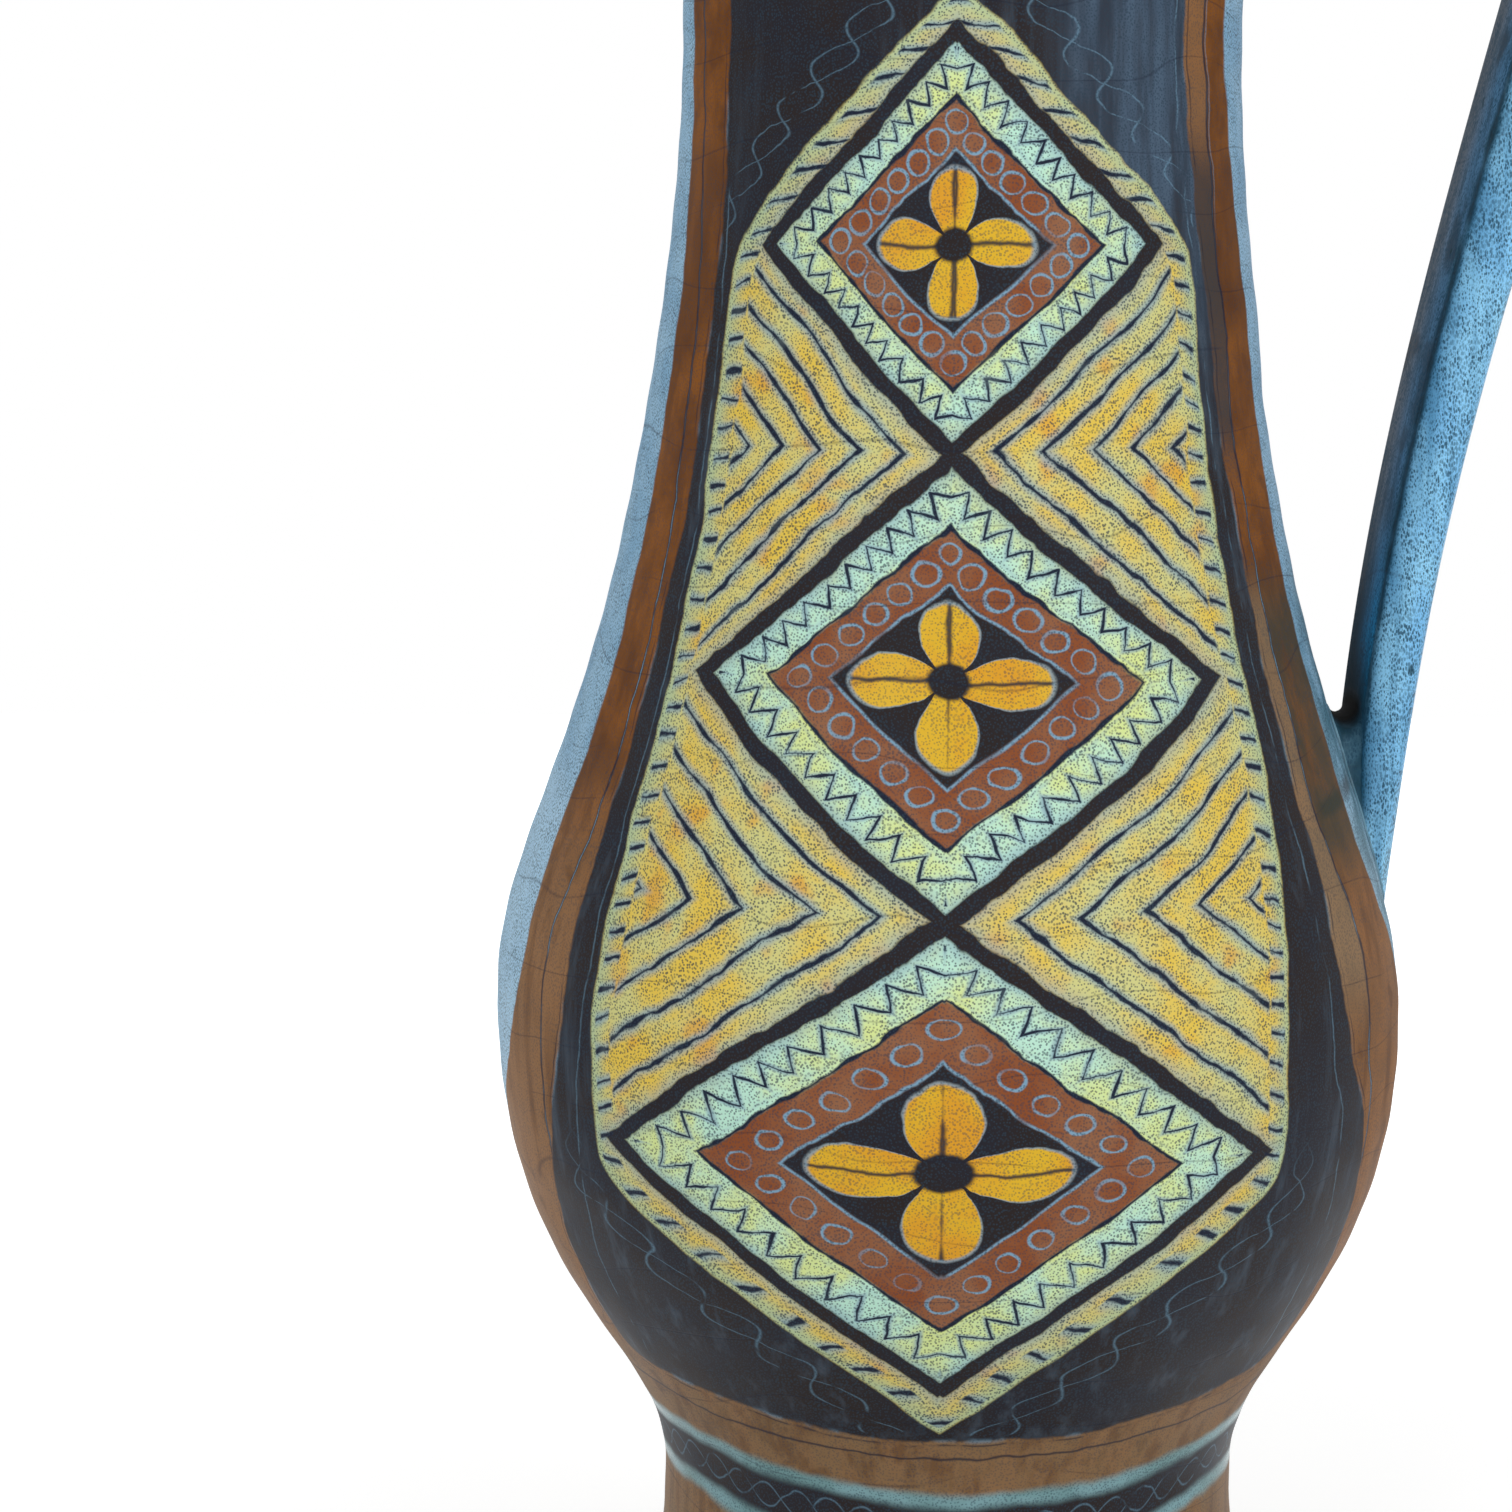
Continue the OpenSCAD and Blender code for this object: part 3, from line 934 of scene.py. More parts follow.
    def _draw_stripes(self) -> None:
        """Scratches thin lines along the stripes and a faint wave into the dark corners."""
        plan, panel, worn, palette = self.stripes, self.plan, self.worn, self.palette
        height, smear = self.height, self.smear
        upright = height.ramp(*plan.foot_rise) * height.ramp(plan.top, plan.top - plan.top_fade)
        in_dark = self.dark_away.ramp(-0.8, -1.4) * self.panel_away.ramp(0.8, 1.4)
        stray_end = plan.dark_line + plan.dark_widening * 0.4
        stray = self._along(height.ramp(*plan.dark_fall, plan.dark_line, stray_end)).line(0.12)
        stray = stray * upright * in_dark * self.wear.ramp(0.32, 0.5) * smear.ramp(0.38, 0.52)
        swing = height.wave(panel.wave[0]) * panel.wave[1]
        corners = height.ramp(*panel.wave_fall).high(height.ramp(*panel.wave_rise))
        waves = self._twist(self.panel_away - panel.wave_away, swing, 0.14)
        waves = waves * in_dark * corners * smear.ramp(0.36, 0.5)
        self._draw((stray * 0.65).high(waves * 0.6) * 0.7, palette.scratch_light)
        on_brown = upright * (1.0 - self.dark_away.inside())
        thin = self.groove.line(0.34) * on_brown
        edge = (self.dark_away - 0.9).line(0.14) * smear.ramp(0.4, 0.6)
        self._draw(thin.high(edge) * 0.85, palette.scratch_dark)
        core = self.groove.line(0.09, 0.14) * on_brown * smear.ramp(0.40, 0.58)
        self._draw(core * height.ramp(*worn.bright_groove, 0.2, 0.9), palette.scratch_light)
        pale = (self.groove - 0.7).line(0.12, 0.2) * on_brown
        pale = pale * self.turned.ramp(*worn.pale_line_side) * height.ramp(*worn.pale_line)
        self._draw(pale * 0.4, palette.scratch_light)
        self.cut = self.cut.high(thin)

    def _draw_bands(self) -> None:
        """Lays the bands round the foot and the mouth."""
        bands, palette, height = self.bands, self.palette, self.height
        from_ring = height - bands.ring - self.dip * bands.ring_dip
        from_low = height - bands.low_ring - self.dip * bands.ring_dip
        from_mouth = height - bands.mouth_ring
        from_rim = height - bands.mouth_dark_top
        self._lay(from_ring.high(from_low * -1.0).inside(0.5), palette.dark)
        self._lay((from_mouth * -1.0).high(from_rim).inside(0.5), palette.dark)
        self._lay((from_rim * -1.0).inside(0.5), palette.blue)
        rings = from_ring.line(bands.ring_half, 1.1).high(from_low.line(bands.ring_half, 1.1))
        self._lay(rings.high(from_mouth.line(bands.ring_half, 0.7)), palette.ring)
        foot_swing = self.round.wave(bands.foot_wave[0]) * bands.foot_wave[1]
        mouth_swing = self.round.wave(bands.mouth_wave[0]) * bands.mouth_wave[1]
        waves = self._twist(from_ring + bands.foot_wave_drop, foot_swing, 0.13)
        waves = waves.high(self._twist(from_mouth - bands.mouth_wave_rise, mouth_swing, 0.14))
        self._draw(waves * self.smear.ramp(0.36, 0.5) * 0.42, palette.scratch_light)
        thin = (height - bands.thin_line - self.dip * bands.thin_dip).line(0.2)
        thin = thin.high((height - bands.mouth_line).line(0.2))
        self._draw(thin * 0.85, palette.scratch_dark)
        self._lay((height - bands.toe_line).inside(0.8), palette.dark)

    def build(self) -> NodeTree:
        """Draws every layer and feeds the group's outputs.

        Returns:
            The finished group.
        """
        sketch, palette = self.sketch, self.palette
        self._lay_ground()
        self._lay_dark()
        self._wear_and_sheen()
        self._lay_panel()
        self._draw_panel()
        self._draw_bands()
        self._draw_stripes()
        dots = sketch.drawn(self.stipple, "Dots", Point=self.flat, Spacing=0.54)
        lines = sketch.drawn(self.throwing, "Lines", Point=self.point, Pitch=12.5)
        speck = dots * self.speckle
        layers = [(speck, palette.stipple), (lines * 0.4, palette.scratch_dark)]
        relief = 0.5 - self.cut * 0.4 - lines * 0.25 - dots * 0.06
        rough = self.rough + speck * 0.06 - self.height.ramp(*self.worn.glossy_foot) * 0.2
        sketch.give(Color=sketch.washes(self.color, layers), Roughness=rough, Relief=relief)
        return sketch.tree


class Kiln:
    """Makes the jug's materials, each once, from the shared node groups."""

    SPECULAR = 0.12

    def __init__(self) -> None:
        """Builds the groups and the materials."""
        self.palette = Palette()
        self.stipple, self.grain, self.throwing = stipple_group(), grain_group(), throwing_group()
        self.wall = PaintedWall(self.stipple, self.throwing).build()
        self.painted = self._painted("painted_glaze")
        self.banded = self._painted("banded_glaze")
        self.blue = self._blue()
        self.inner = self._inner()
        self.clay = self._clay("fired_clay", self.palette.clay)
        self.slip = self._clay("luting_slip", self.palette.slip)

    def _fire(self, sketch: Sketch, color: Input, rough: Field, relief: Field, depth: float) -> Material:
        """Gives a material its shader.

        Args:
            sketch: The drawing in the material's tree.
            color: The colour.
            rough: The roughness.
            relief: The relief, for the shader's normal.
            depth: The relief's depth in millimetres.

        Returns:
            The material.
        """
        feeds = {"Strength": 1.0, "Distance": depth * METRE, "Height": relief}
        normal = sketch.node("Bump", feeds).outputs["Normal"]
        feeds = {
            "Base Color": color,
            "Roughness": rough,
            "Normal": normal,
            "Specular IOR Level": self.SPECULAR,
        }
        shader = sketch.node("BsdfPrincipled", feeds)
        sketch.node("OutputMaterial", {"Surface": shader.outputs[0]})
        return sketch.owner

    def _painted(self, name: str) -> Material:
        """Makes the painted glaze of the outside.

        Args:
            name: The material's name.

        Returns:
            The material.
        """
        sketch = Sketch.blank(bpy.data.materials.new(name))
        paint = sketch.use(self.wall)
        grain = sketch.use(self.grain, Point=sketch.place()[0])
        rough = sketch.out(paint, "Roughness") + (sketch.out(grain, "Drift") - 0.5) * 0.10
        relief = sketch.out(paint, "Relief") + sketch.out(grain, "Relief") * 0.30
        return self._fire(sketch, paint.outputs["Color"], rough, relief, 0.12)

    def _blue(self) -> Material:
        """Makes the strap's blue glaze: bright sides, a duller inner face, a dark line on each arris and
        painted shade.

        Returns:
            The material.
        """
        sketch = Sketch.blank(bpy.data.materials.new("blue_glaze"))
        tints, palette = StrapTints(), self.palette
        point, outward, across, height = sketch.place()
        face, crotch, web = (sketch.noted(n) for n in (Note.INNER_FACE, Note.CROTCH, Note.WEB))
        fleck = sketch.noise(point, 5.0, 2.0)
        edge = sketch.noted(Note.ARRIS) + (fleck - 0.5) * 1.3
        cloud = sketch.noise(point, 11.0, 4.0, 0.6, up=0.4).ramp(0.35, 0.68)
        column = sketch.noise(point, 2.6, 3.0, 0.6, up=0.06)
        facing = sketch.split(sketch.node("TexCoord").outputs["Normal"])
        on_side = abs(facing[1]).above(0.7)
        rows = sketch.flat(on_side * (outward - across) + across, height * 0.5)
        coarse, fine = (sketch.drawn(self.stipple, "Dots", Point=rows, Spacing=s) for s in (0.5, 0.31))
        dots = coarse.high(fine * 0.6)
        lines = sketch.drawn(self.throwing, "Lines", Point=point, Pitch=19.0)
        grain = sketch.use(self.grain, Point=point)
        bright = sketch.blend(cloud, tints.main, tints.second)
        dull = sketch.blend(across.ramp(-9.0, 5.0), tints.inner_left, tints.inner_right)
        low = sketch.blend(across.ramp(-8.0, 4.0), tints.low_left, tints.low_right)
        inner_layers = [
            (height.ramp(228.0, 196.0), low),
            (cloud * 0.4, tints.inner_cloud),
            (column.ramp(0.44, 0.62) * 0.4, tints.inner_column),
        ]
        smudge = sketch.noise(point, 12.0, 3.0).ramp(0.54, 0.68) * face * height.ramp(200.0, 240.0)
        root = height.ramp(205.0, 172.0) * sketch.noise(point, 7.0, 3.0, 0.6).ramp(0.42, 0.66)
        wiped = sketch.noise(point, 4.0, 3.0, 0.6, up=0.5).ramp(0.34, 0.62, 0.85, 1.0)
        pool = (edge - 0.4).line(0.9, 0.9) * sketch.noise(point, 9.0, 3.0, 0.6).ramp(0.40, 0.62)
        # Painted shade on the sides next to the inner face's arrises, stronger at the front one.
        shade = edge.ramp(7.5, 0.2) * (1.0 - face) * across.ramp(12.0, -4.0, 0.5, 1.0)
        broken = sketch.noise(point, 6.0, 2.0, up=0.4).ramp(0.30, 0.50, 0.4, 1.0)
        layers = [
            (column.ramp(0.44, 0.68) * 0.55, tints.column),
            (face, sketch.washes(dull, inner_layers)),
            (smudge * 0.6, tints.smudge),
            (root * 0.15, palette.smear),
            # Dark teal on the web: partly wiped slip, partly painted shade.
            (web * wiped, tints.web),
            (pool * 0.6, palette.smear),
            # Painted shade beside the inner arrises.
            (shade * cloud.ramp(0.0, 1.0, 0.6, 0.9) * 0.8, tints.painted_arris_shade),
            (fleck.ramp(0.70, 0.76) * 0.8, tints.spot),
            (edge.line(0.8, 0.7) * broken * 0.9, tints.arris),
            (dots * 0.9, tints.dots),
            (lines * 0.3, palette.stipple),
            # Near-black painted shade deep in the crotch.
            (crotch, tints.crotch),
        ]
        rough = sketch.out(grain, "Drift") * 0.10 + ((face * 0.45).high(crotch * 0.55) + 0.38)
        relief = sketch.out(grain, "Relief") * 0.4 - dots * 0.1
        return self._fire(sketch, sketch.washes(bright, layers), rough, relief, 0.12)

    def _inner(self) -> Material:
        """Makes the plain blue glaze of the inside, deeper where it ran.

        Returns:
            The material.
        """
        sketch = Sketch.blank(bpy.data.materials.new("inner_glaze"))
        blue = self.palette.blue
        point, x, y, height = sketch.place()
        around = sketch.math("ARCTAN2", x, y) * sketch.hypot(x, y)
        runs = sketch.noise(point, 9.0, 3.0, up=0.2).ramp(0.3, 0.7)
        dots = sketch.drawn(self.stipple, "Dots", Point=sketch.flat(around, height), Spacing=0.8)
        grain = sketch.use(self.grain, Point=point)
        color = sketch.blend(dots * 0.45, sketch.blend(runs, blue.main, blue.second), self.palette.stipple)
        rough = sketch.out(grain, "Drift") * 0.12 + 0.3
        return self._fire(sketch, color, rough, sketch.out(grain, "Relief"), 0.05)

    def _clay(self, name: str, paint: Paint) -> Material:
        """Makes bare fired clay with its grog.

        Args:
            name: The material's name.
            paint: The clay's colours, its grog as speckle, and its roughness.

        Returns:
            The material.
        """
        sketch = Sketch.blank(bpy.data.materials.new(name))
        point = sketch.place()[0]
        cloud = sketch.noise(point, 6.0, 4.0, 0.65).ramp(0.3, 0.7)
        grog = sketch.drawn(self.stipple, "Dots", Point=point, Spacing=0.9)
        grain = sketch.use(self.grain, Point=point)
        body = sketch.blend(cloud, paint.main, paint.second)
        color = sketch.blend(grog * paint.speckle, body, self.palette.grog)
        rough = sketch.out(grain, "Drift") * 0.1 + paint.roughness
        return self._fire(sketch, color, rough, sketch.out(grain, "Relief") + grog * 0.3, 0.15)


# Shapes


@dataclass(frozen=True)
class Station:
    """A place on the wall's outside that the potter shaped: its lean, and how far that holds each way."""

    radius: float
    height: float
    lean: float = 0.0
    pull_below: float = 0.0
    pull_above: float = 0.0

    def point(self) -> Array:
        """Its radius and height."""
        return np.array([self.radius, self.height])

    def upward(self) -> Array:
        """The way that the wall rises there."""
        lean = math.radians(self.lean)
        return np.array([-math.sin(lean), math.cos(lean)])


def unit(ways: Array) -> Array:
    """Directions of length 1."""
    return ways / np.linalg.norm(ways, axis=1)[:, None]


def bell(away: Array) -> Array:
    """A bell curve: 1 at nothing, and less further away."""
    return np.exp(-(away**2))


def cubic(controls: Sequence[Array], share: Array) -> tuple[Array, Array]:
    """Follows a cubic curve.

    Args:
        controls: Its four control points.
        share: How far along it, from 0 to 1.

    Returns:
        The points and the directions there.
    """
    s = share[:, None]
    a, b, c, d = controls
    points = a * (1 - s) ** 3 + 3 * b * s * (1 - s) ** 2 + 3 * c * s * s * (1 - s) + d * s**3
    ways = (b - a) * (1 - s) ** 2 + 2 * (c - b) * s * (1 - s) + (d - c) * s * s
    return points, ways


def arc(centre: tuple[float, float], radius: float, start: float, end: float, steps: int = 8) -> Array:
    """Rounds a corner; the directions it starts and ends at are in degrees."""
    a = np.radians(np.linspace(start, end, steps + 1))
    return np.column_stack([centre[0] + radius * np.cos(a), centre[1] + radius * np.sin(a)])


@dataclass
class Wall:
    """The jug's wall: its stations outside, its thickness, and the hand's small unevenness.

    What ends in _rise or _fall gives the height where an unevenness starts and how far it takes.
    """

    toe: Station = Station(62.5, 6.0, 34.0, 0.0, 13.0)
    waist: Station = Station(51.5, 46.5, 0.0, 20.0, 25.0)
    widest: Station = Station(81.0, 133.5, 0.0, 53.5, 21.5)
    shoulder: Station = Station(61.0, 206.0, 14.2, 39.5, 7.0)
    narrowest: Station = Station(48.5, 302.0, 0.0, 41.0, 30.0)
    rim: Station = Station(58.0, 380.0, -20.0, 24.0, 0.0)
    thickness: tuple[float, ...] = (8.0, 6.5, 5.5, 4.5)
    row: float = 1.6
    fine_row: float = 0.25
    columns: int = 240
    lap: float = 3.0
    slip: float = 0.4
    lip_of_seat: float = 0.6
    ring_pitch: float = 11.0
    ring_relief: float = 0.06
    ring_rise: Span = (8.0, 10.0)
    oval: float = 0.2
    oval_twist: float = 60.0
    oval_rise: Span = (10.0, 60.0)
    foot_shift: float = 1.0
    shift_fall: Span = (85.0, 45.0)
    handle_press: float = 1.2
    press_height: float = 148.0
    press_tall: float = 22.0
    press_wide: float = 0.6
    neck_pull: float = 1.0
    pull_wide: float = 0.7
    pull_rise: Span = (238.0, 16.0)
    table: Array = field(init=False)

    def __post_init__(self) -> None:
        """Keeps a fine table of the outside's radius by height."""
        stations = (self.toe, self.waist, self.widest, self.shoulder, self.narrowest, self.rim)
        spans = [self.span(a, b, self.fine_row)[:, :2] for a, b in zip(stations, stations[1:])]
        self.table = np.concatenate(spans)

    def span(self, low: Station, high: Station, row: float) -> Array:
        """Samples the outside between two stations.

        Args:
            low: The lower station.
            high: The upper station.
            row: The distance between samples.

        Returns:
            Radius, height and lean of each sample.
        """
        controls = [
            low.point(),
            low.point() + low.upward() * low.pull_above,
            high.point() - high.upward() * high.pull_below,
            high.point(),
        ]
        length = float(np.linalg.norm(high.point() - low.point()))
        points, ways = cubic(controls, np.linspace(0, 1, max(3, round(length / row) + 1)))
        lean = np.arctan2(-ways[:, 0], ways[:, 1])
        return np.column_stack([points, lean])

    def radius(self, height: Array) -> Array:
        """The outside's radius at a height."""
        return np.interp(height, self.table[:, 1], self.table[:, 0])

    def inside(self, samples: Array) -> Array:
        """Finds the inner points that face some samples of the outside.

        Args:
            samples: Radius, height and lean of each sample.

        Returns:
            Radius and height of each inner point.
        """
        heights = (0.0, self.widest.height, self.narrowest.height, self.rim.height)
        thick = np.interp(samples[:, 1], heights, self.thickness)
        return np.column_stack([samples[:, 0] - thick / np.cos(samples[:, 2]), samples[:, 1]])

    def uneven(self, angle: Array, height: Array) -> Array:
        """How far the hand left the wall off the true round.

        There is a spiral of finger rings, a slight oval, a foot luted on a little off the middle, a
        belly pressed flatter where the strap was pushed on, and a neck that its weight drew out.

        Args:
            angle: The angle round the axis in radians.
            height: The height.

        Returns:
            The distance to add to the radius.
        """

        def rise(start: float, over: float) -> Array:
            """Eases in from a height."""
            return ease((height - start) / over)

        spiral = np.sin(2 * math.pi * height / self.ring_pitch + angle) * self.ring_relief
        oval = np.sin(2 * angle + height / self.oval_twist) * self.oval
        shift = np.cos(angle) * self.foot_shift * ease((self.shift_fall[0] - height) / self.shift_fall[1])
        off = np.arctan2(np.sin(angle), np.cos(angle))
        press = bell(off / self.press_wide) * bell((height - self.press_height) / self.press_tall)
        pull = bell(off / self.pull_wide) * rise(*self.pull_rise) * self.neck_pull
        true = spiral * rise(*self.ring_rise) + oval * rise(*self.oval_rise) + shift
        return true - press * self.handle_press + pull

    def lower_rim(self, seam: Array) -> Array:
        """Lays out the lower section's rim in a seam.

        Args:
            seam: Radius, height and lean of the outside at the seam.

        Returns:
            The rim's points, from outside to inside.
        """
        inner = self.inside(seam[None])[0, 0]
        seat = (seam[0] + inner) / 2
        high = seam[1] + self.lap
        tip = inner - self.lap * math.tan(seam[2])
        return np.array([[seat, seam[1]], [seat, high], [tip, high]])

    def upper_seat(self, seam: Array) -> Array:
        """Lays out the upper section's seat in a seam.

        Args:
            seam: Radius, height and lean of the outside at the seam.

        Returns:
            The seat's points, from inside to outside.
        """
        inner = self.inside(seam[None])[0, 0]
        seat = (seam[0] + inner) / 2 + self.slip
        low, high = seam[1] + self.slip, seam[1] + self.lap + self.slip
        tip = inner - (self.lap + self.slip) * math.tan(seam[2])
        lip = seam[0] - self.lip_of_seat
        return np.array([[tip, high], [seat, high], [seat, low], [lip, low], [lip, seam[1]]])


def lattice(starts: Array, count: int, columns: int) -> tuple[Array, Array, Array]:
    """Lays faces between rings of points.

    Args:
        starts: The rings that faces start from.
        count: How many rings there are.
        columns: How many points each has.

    Returns:
        For each face: its row, its column and its four corners.
    """
    i, j = (grid.ravel() for grid in np.meshgrid(starts, np.arange(columns), indexing="ij"))
    up, on = (i + 1) % count, (j + 1) % columns
    corners = [i * columns + j, i * columns + on, up * columns + on, up * columns + j]
    return i, j, np.column_stack(corners)


def charted_mesh(name: str, points: Array, faces: Sequence[Sequence[int]], chart: Array) -> Mesh:
    """Makes a mesh with its baking chart.

    Args:
        name: The mesh's name.
        points: Its points in millimetres.
        faces: The points of each face.
        chart: The place on the chart of each face's corners, in the faces' order.

    Returns:
        The mesh, in metres.
    """
    mesh = bpy.data.meshes.new(name)
    mesh.from_pydata((points * METRE).tolist(), [], faces)
    mesh.uv_layers.new(name=CHART).data.foreach_set("uv", chart.ravel().astype(np.float32))
    return mesh


def ring_mesh(name: str, rings: Sequence[Array]) -> Mesh:
    """Joins rings of points into one closed mesh, with a cap at each end.

    Args:
        name: The mesh's name.
        rings: Rings of equally many points, in millimetres.

    Returns:
        The mesh, in metres.
    """
    side_share, cap_middle, cap_radius, cap_heights = 0.93, 0.968, 0.025, (0.1, 0.9)
    count, size = len(rings), len(rings[0])
    i, j, sides = lattice(np.arange(count - 1), count, size)
    caps = [list(range(size - 1, -1, -1)), list(range((count - 1) * size, count * size))]
    low, high = i / (count - 1), (i + 1) / (count - 1)
    left, right = j / size, (j + 1) / size
    u = np.column_stack([left, right, right, left]) * side_share + CHART_EDGE
    v = np.column_stack([low, low, high, high]) * CHART_SIDE + CHART_EDGE
    turn = np.arange(size) * 2 * math.pi / size
    disc = np.column_stack([cap_middle + cap_radius * np.cos(turn), cap_radius * np.sin(turn)])
    low_disc, high_disc = (disc + (0.0, height) for height in cap_heights)
    chart = np.concatenate([np.stack([u, v], -1).reshape(-1, 2), low_disc[::-1], high_disc])
    return charted_mesh(name, np.concatenate(rings), sides.tolist() + caps, chart)


Bend = Callable[[Array, Array, Array], Array]


@dataclass
class Turning:
    """A turned piece: an outline in stretches, each with its zone, swept round the axis."""

    name: str
    bend: Bend
    columns: int
    strips: int = 1
    skin_share: float = 0.86
    points: list[Array] = field(default_factory=list)
    zones: list[Zone] = field(default_factory=list)

    def run(self, points: Sequence[Sequence[float]] | Array, zone: Zone) -> Turning:
        """Adds points to the outline.

        Args:
            points: Radius and height of each.
            zone: The zone of the faces that lead to each.

        Returns:
            The piece itself, for the next stretch.
        """
        self.points.extend(np.asarray(p, float) for p in points)
        self.zones.extend([zone] * len(points))
        return self

    def _chart(self, starts: Array) -> tuple[Array, Array, Array]:
        """Lays the rows of faces out on the baking chart.

        Args:
            starts: The row that each strip of faces starts from.

        Returns:
            For each strip of faces: whether it is skin, and its low and high place up the chart.
        """
        count = len(self.points)
        outline = np.array(self.points)
        steps = np.array([np.linalg.norm(outline[(i + 1) % count] - outline[i]) for i in starts])
        skin = np.array([self.zones[(i + 1) % count] is Zone.SKIN for i in starts])
        low, high = np.zeros(len(starts)), np.zeros(len(starts))
        for mask, base, share in (
            (skin, CHART_EDGE, self.skin_share / self.strips - 2 * CHART_EDGE),
            (~skin, self.skin_share + CHART_EDGE, CHART_SIDE - self.skin_share),
        ):
            total = steps[mask].sum() or 1.0
            ends = np.cumsum(steps[mask]) / total * share + base
            high[mask] = ends
            low[mask] = ends - steps[mask] / total * share
        return skin, low, high

    def mesh(self, closed: bool) -> Mesh:
        """Sweeps the outline into a closed mesh with its zones and baking chart.

        Args:
            closed: Whether the outline returns to its start; if not, it starts and ends on the axis.

        Returns:
            The mesh, in metres.
        """
        count, columns = len(self.points), self.columns
        outline = np.array(self.points)
        angle = np.arange(columns) * 2 * math.pi / columns
        radius, height = (np.repeat(outline[:, i], columns) for i in (0, 1))
        points = self.bend(radius, height, np.tile(angle, count))
        starts = np.arange(count if closed else count - 1)
        skin, low, high = self._chart(starts)
        i, j, faces = lattice(starts, count, columns)
        half = columns // self.strips
        strip = np.where(skin[i], j // half, 0)
        left = np.where(skin[i], (j - strip * half) / half, j / columns)
        right = np.where(skin[i], (j + 1 - strip * half) / half, (j + 1) / columns)
        shift = strip * self.skin_share / self.strips
        u = np.column_stack([left, right, right, left]) * CHART_SIDE + CHART_EDGE
        v = np.column_stack([low[i], low[i], high[i], high[i]]) + shift[:, None]
        mesh = charted_mesh(self.name, points, faces.tolist(), np.stack([u, v], -1))
        zone = np.array([self.zones[(s + 1) % count].value for s in starts], np.int32)
        mesh.polygons.foreach_set("material_index", zone[i])
        return mesh


def put(name: str, data: ID) -> Object:
    """Makes an object and puts it in the scene.

    Args:
        name: The object's name.
        data: Its mesh, light or camera.

    Returns:
        The object.
    """
    made = bpy.data.objects.new(name, data)
    bpy.context.scene.collection.objects.link(made)
    return made


def make_piece(name: str, mesh: Mesh, nodes: Sequence[str], sharp: float = 38.0) -> Object:
    """Shades a mesh, puts it in the scene, and lets it stand for its CAD nodes.

    Args:
        name: The piece's name.
        mesh: Its mesh.
        nodes: The CAD nodes that it stands for.
        sharp: The angle between faces, in degrees, past which their edge is sharp.

    Returns:
        The piece.
    """
    mesh.validate()
    mesh.polygons.foreach_set("use_smooth", [True] * len(mesh.polygons))
    mesh.set_sharp_from_angle(angle=math.radians(sharp))
    piece = put(name, mesh)
    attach(piece, BODY)
    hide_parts(*nodes)
    LOG.info("%s: %d faces", name, len(mesh.polygons))
    return piece


@dataclass
class Section:
    """A section thrown on the wheel."""

    wall: Wall
    kiln: Kiln
    piece: Object | None = None
    true_to: float = 20.0

    def bend(self, radius: Array, height: Array, angle: Array) -> Array:
        """Places outline points round the axis, with the hand's unevenness away from it."""
        r = radius + self.wall.uneven(angle, height) * np.clip(radius / self.true_to, 0, 1)
        return np.column_stack([r * np.cos(angle), r * np.sin(angle), height])

    def rise(self, name: str, stations: Sequence[Station], strips: int) -> tuple[Turning, Array]:
        """Starts the outline of a section that stands on another: its seat and its outside.

        Args:
            name: The mesh's name.
            stations: The wall's stations that it goes through.
            strips: How many strips its skin has on the baking chart.

        Returns:
            The outline so far, and the samples of the outside.
        """
        wall = self.wall
        spans = [wall.span(a, b, wall.row) for a, b in zip(stations, stations[1:])]
        samples = np.concatenate([spans[0]] + [span[1:] for span in spans[1:]])
        turning = Turning(name, self.bend, wall.columns, strips)
        turning.run(wall.upper_seat(samples[0]), Zone.CLAY)
        turning.run(samples[:1, :2], Zone.CLAY).run(samples[1:, :2], Zone.SKIN)
        return turning, samples

    def close(self, turning: Turning, samples: Array, top: float) -> Mesh:
        """Takes an outline that stands on a seat down the inside, back to the seat.

        Args:
            turning: The outline so far.
            samples: The samples of the outside.
            top: The height below which the inside starts.

        Returns:
            The section's mesh.
        """
        inner = self.wall.inside(samples)
        seat = samples[0, 1] + self.wall.lap + self.wall.slip
        turning.run(inner[(inner[:, 1] > seat + 1) & (inner[:, 1] < top)][::-2], Zone.INSIDE)
        turning.zones[0] = Zone.INSIDE
        return turning.mesh(closed=True)

    def dress(self, skin: Material) -> None:
        """Gives the piece its materials in the order of the zones."""
        for material in (skin, self.kiln.inner, self.kiln.clay):
            self.piece.data.materials.append(material)


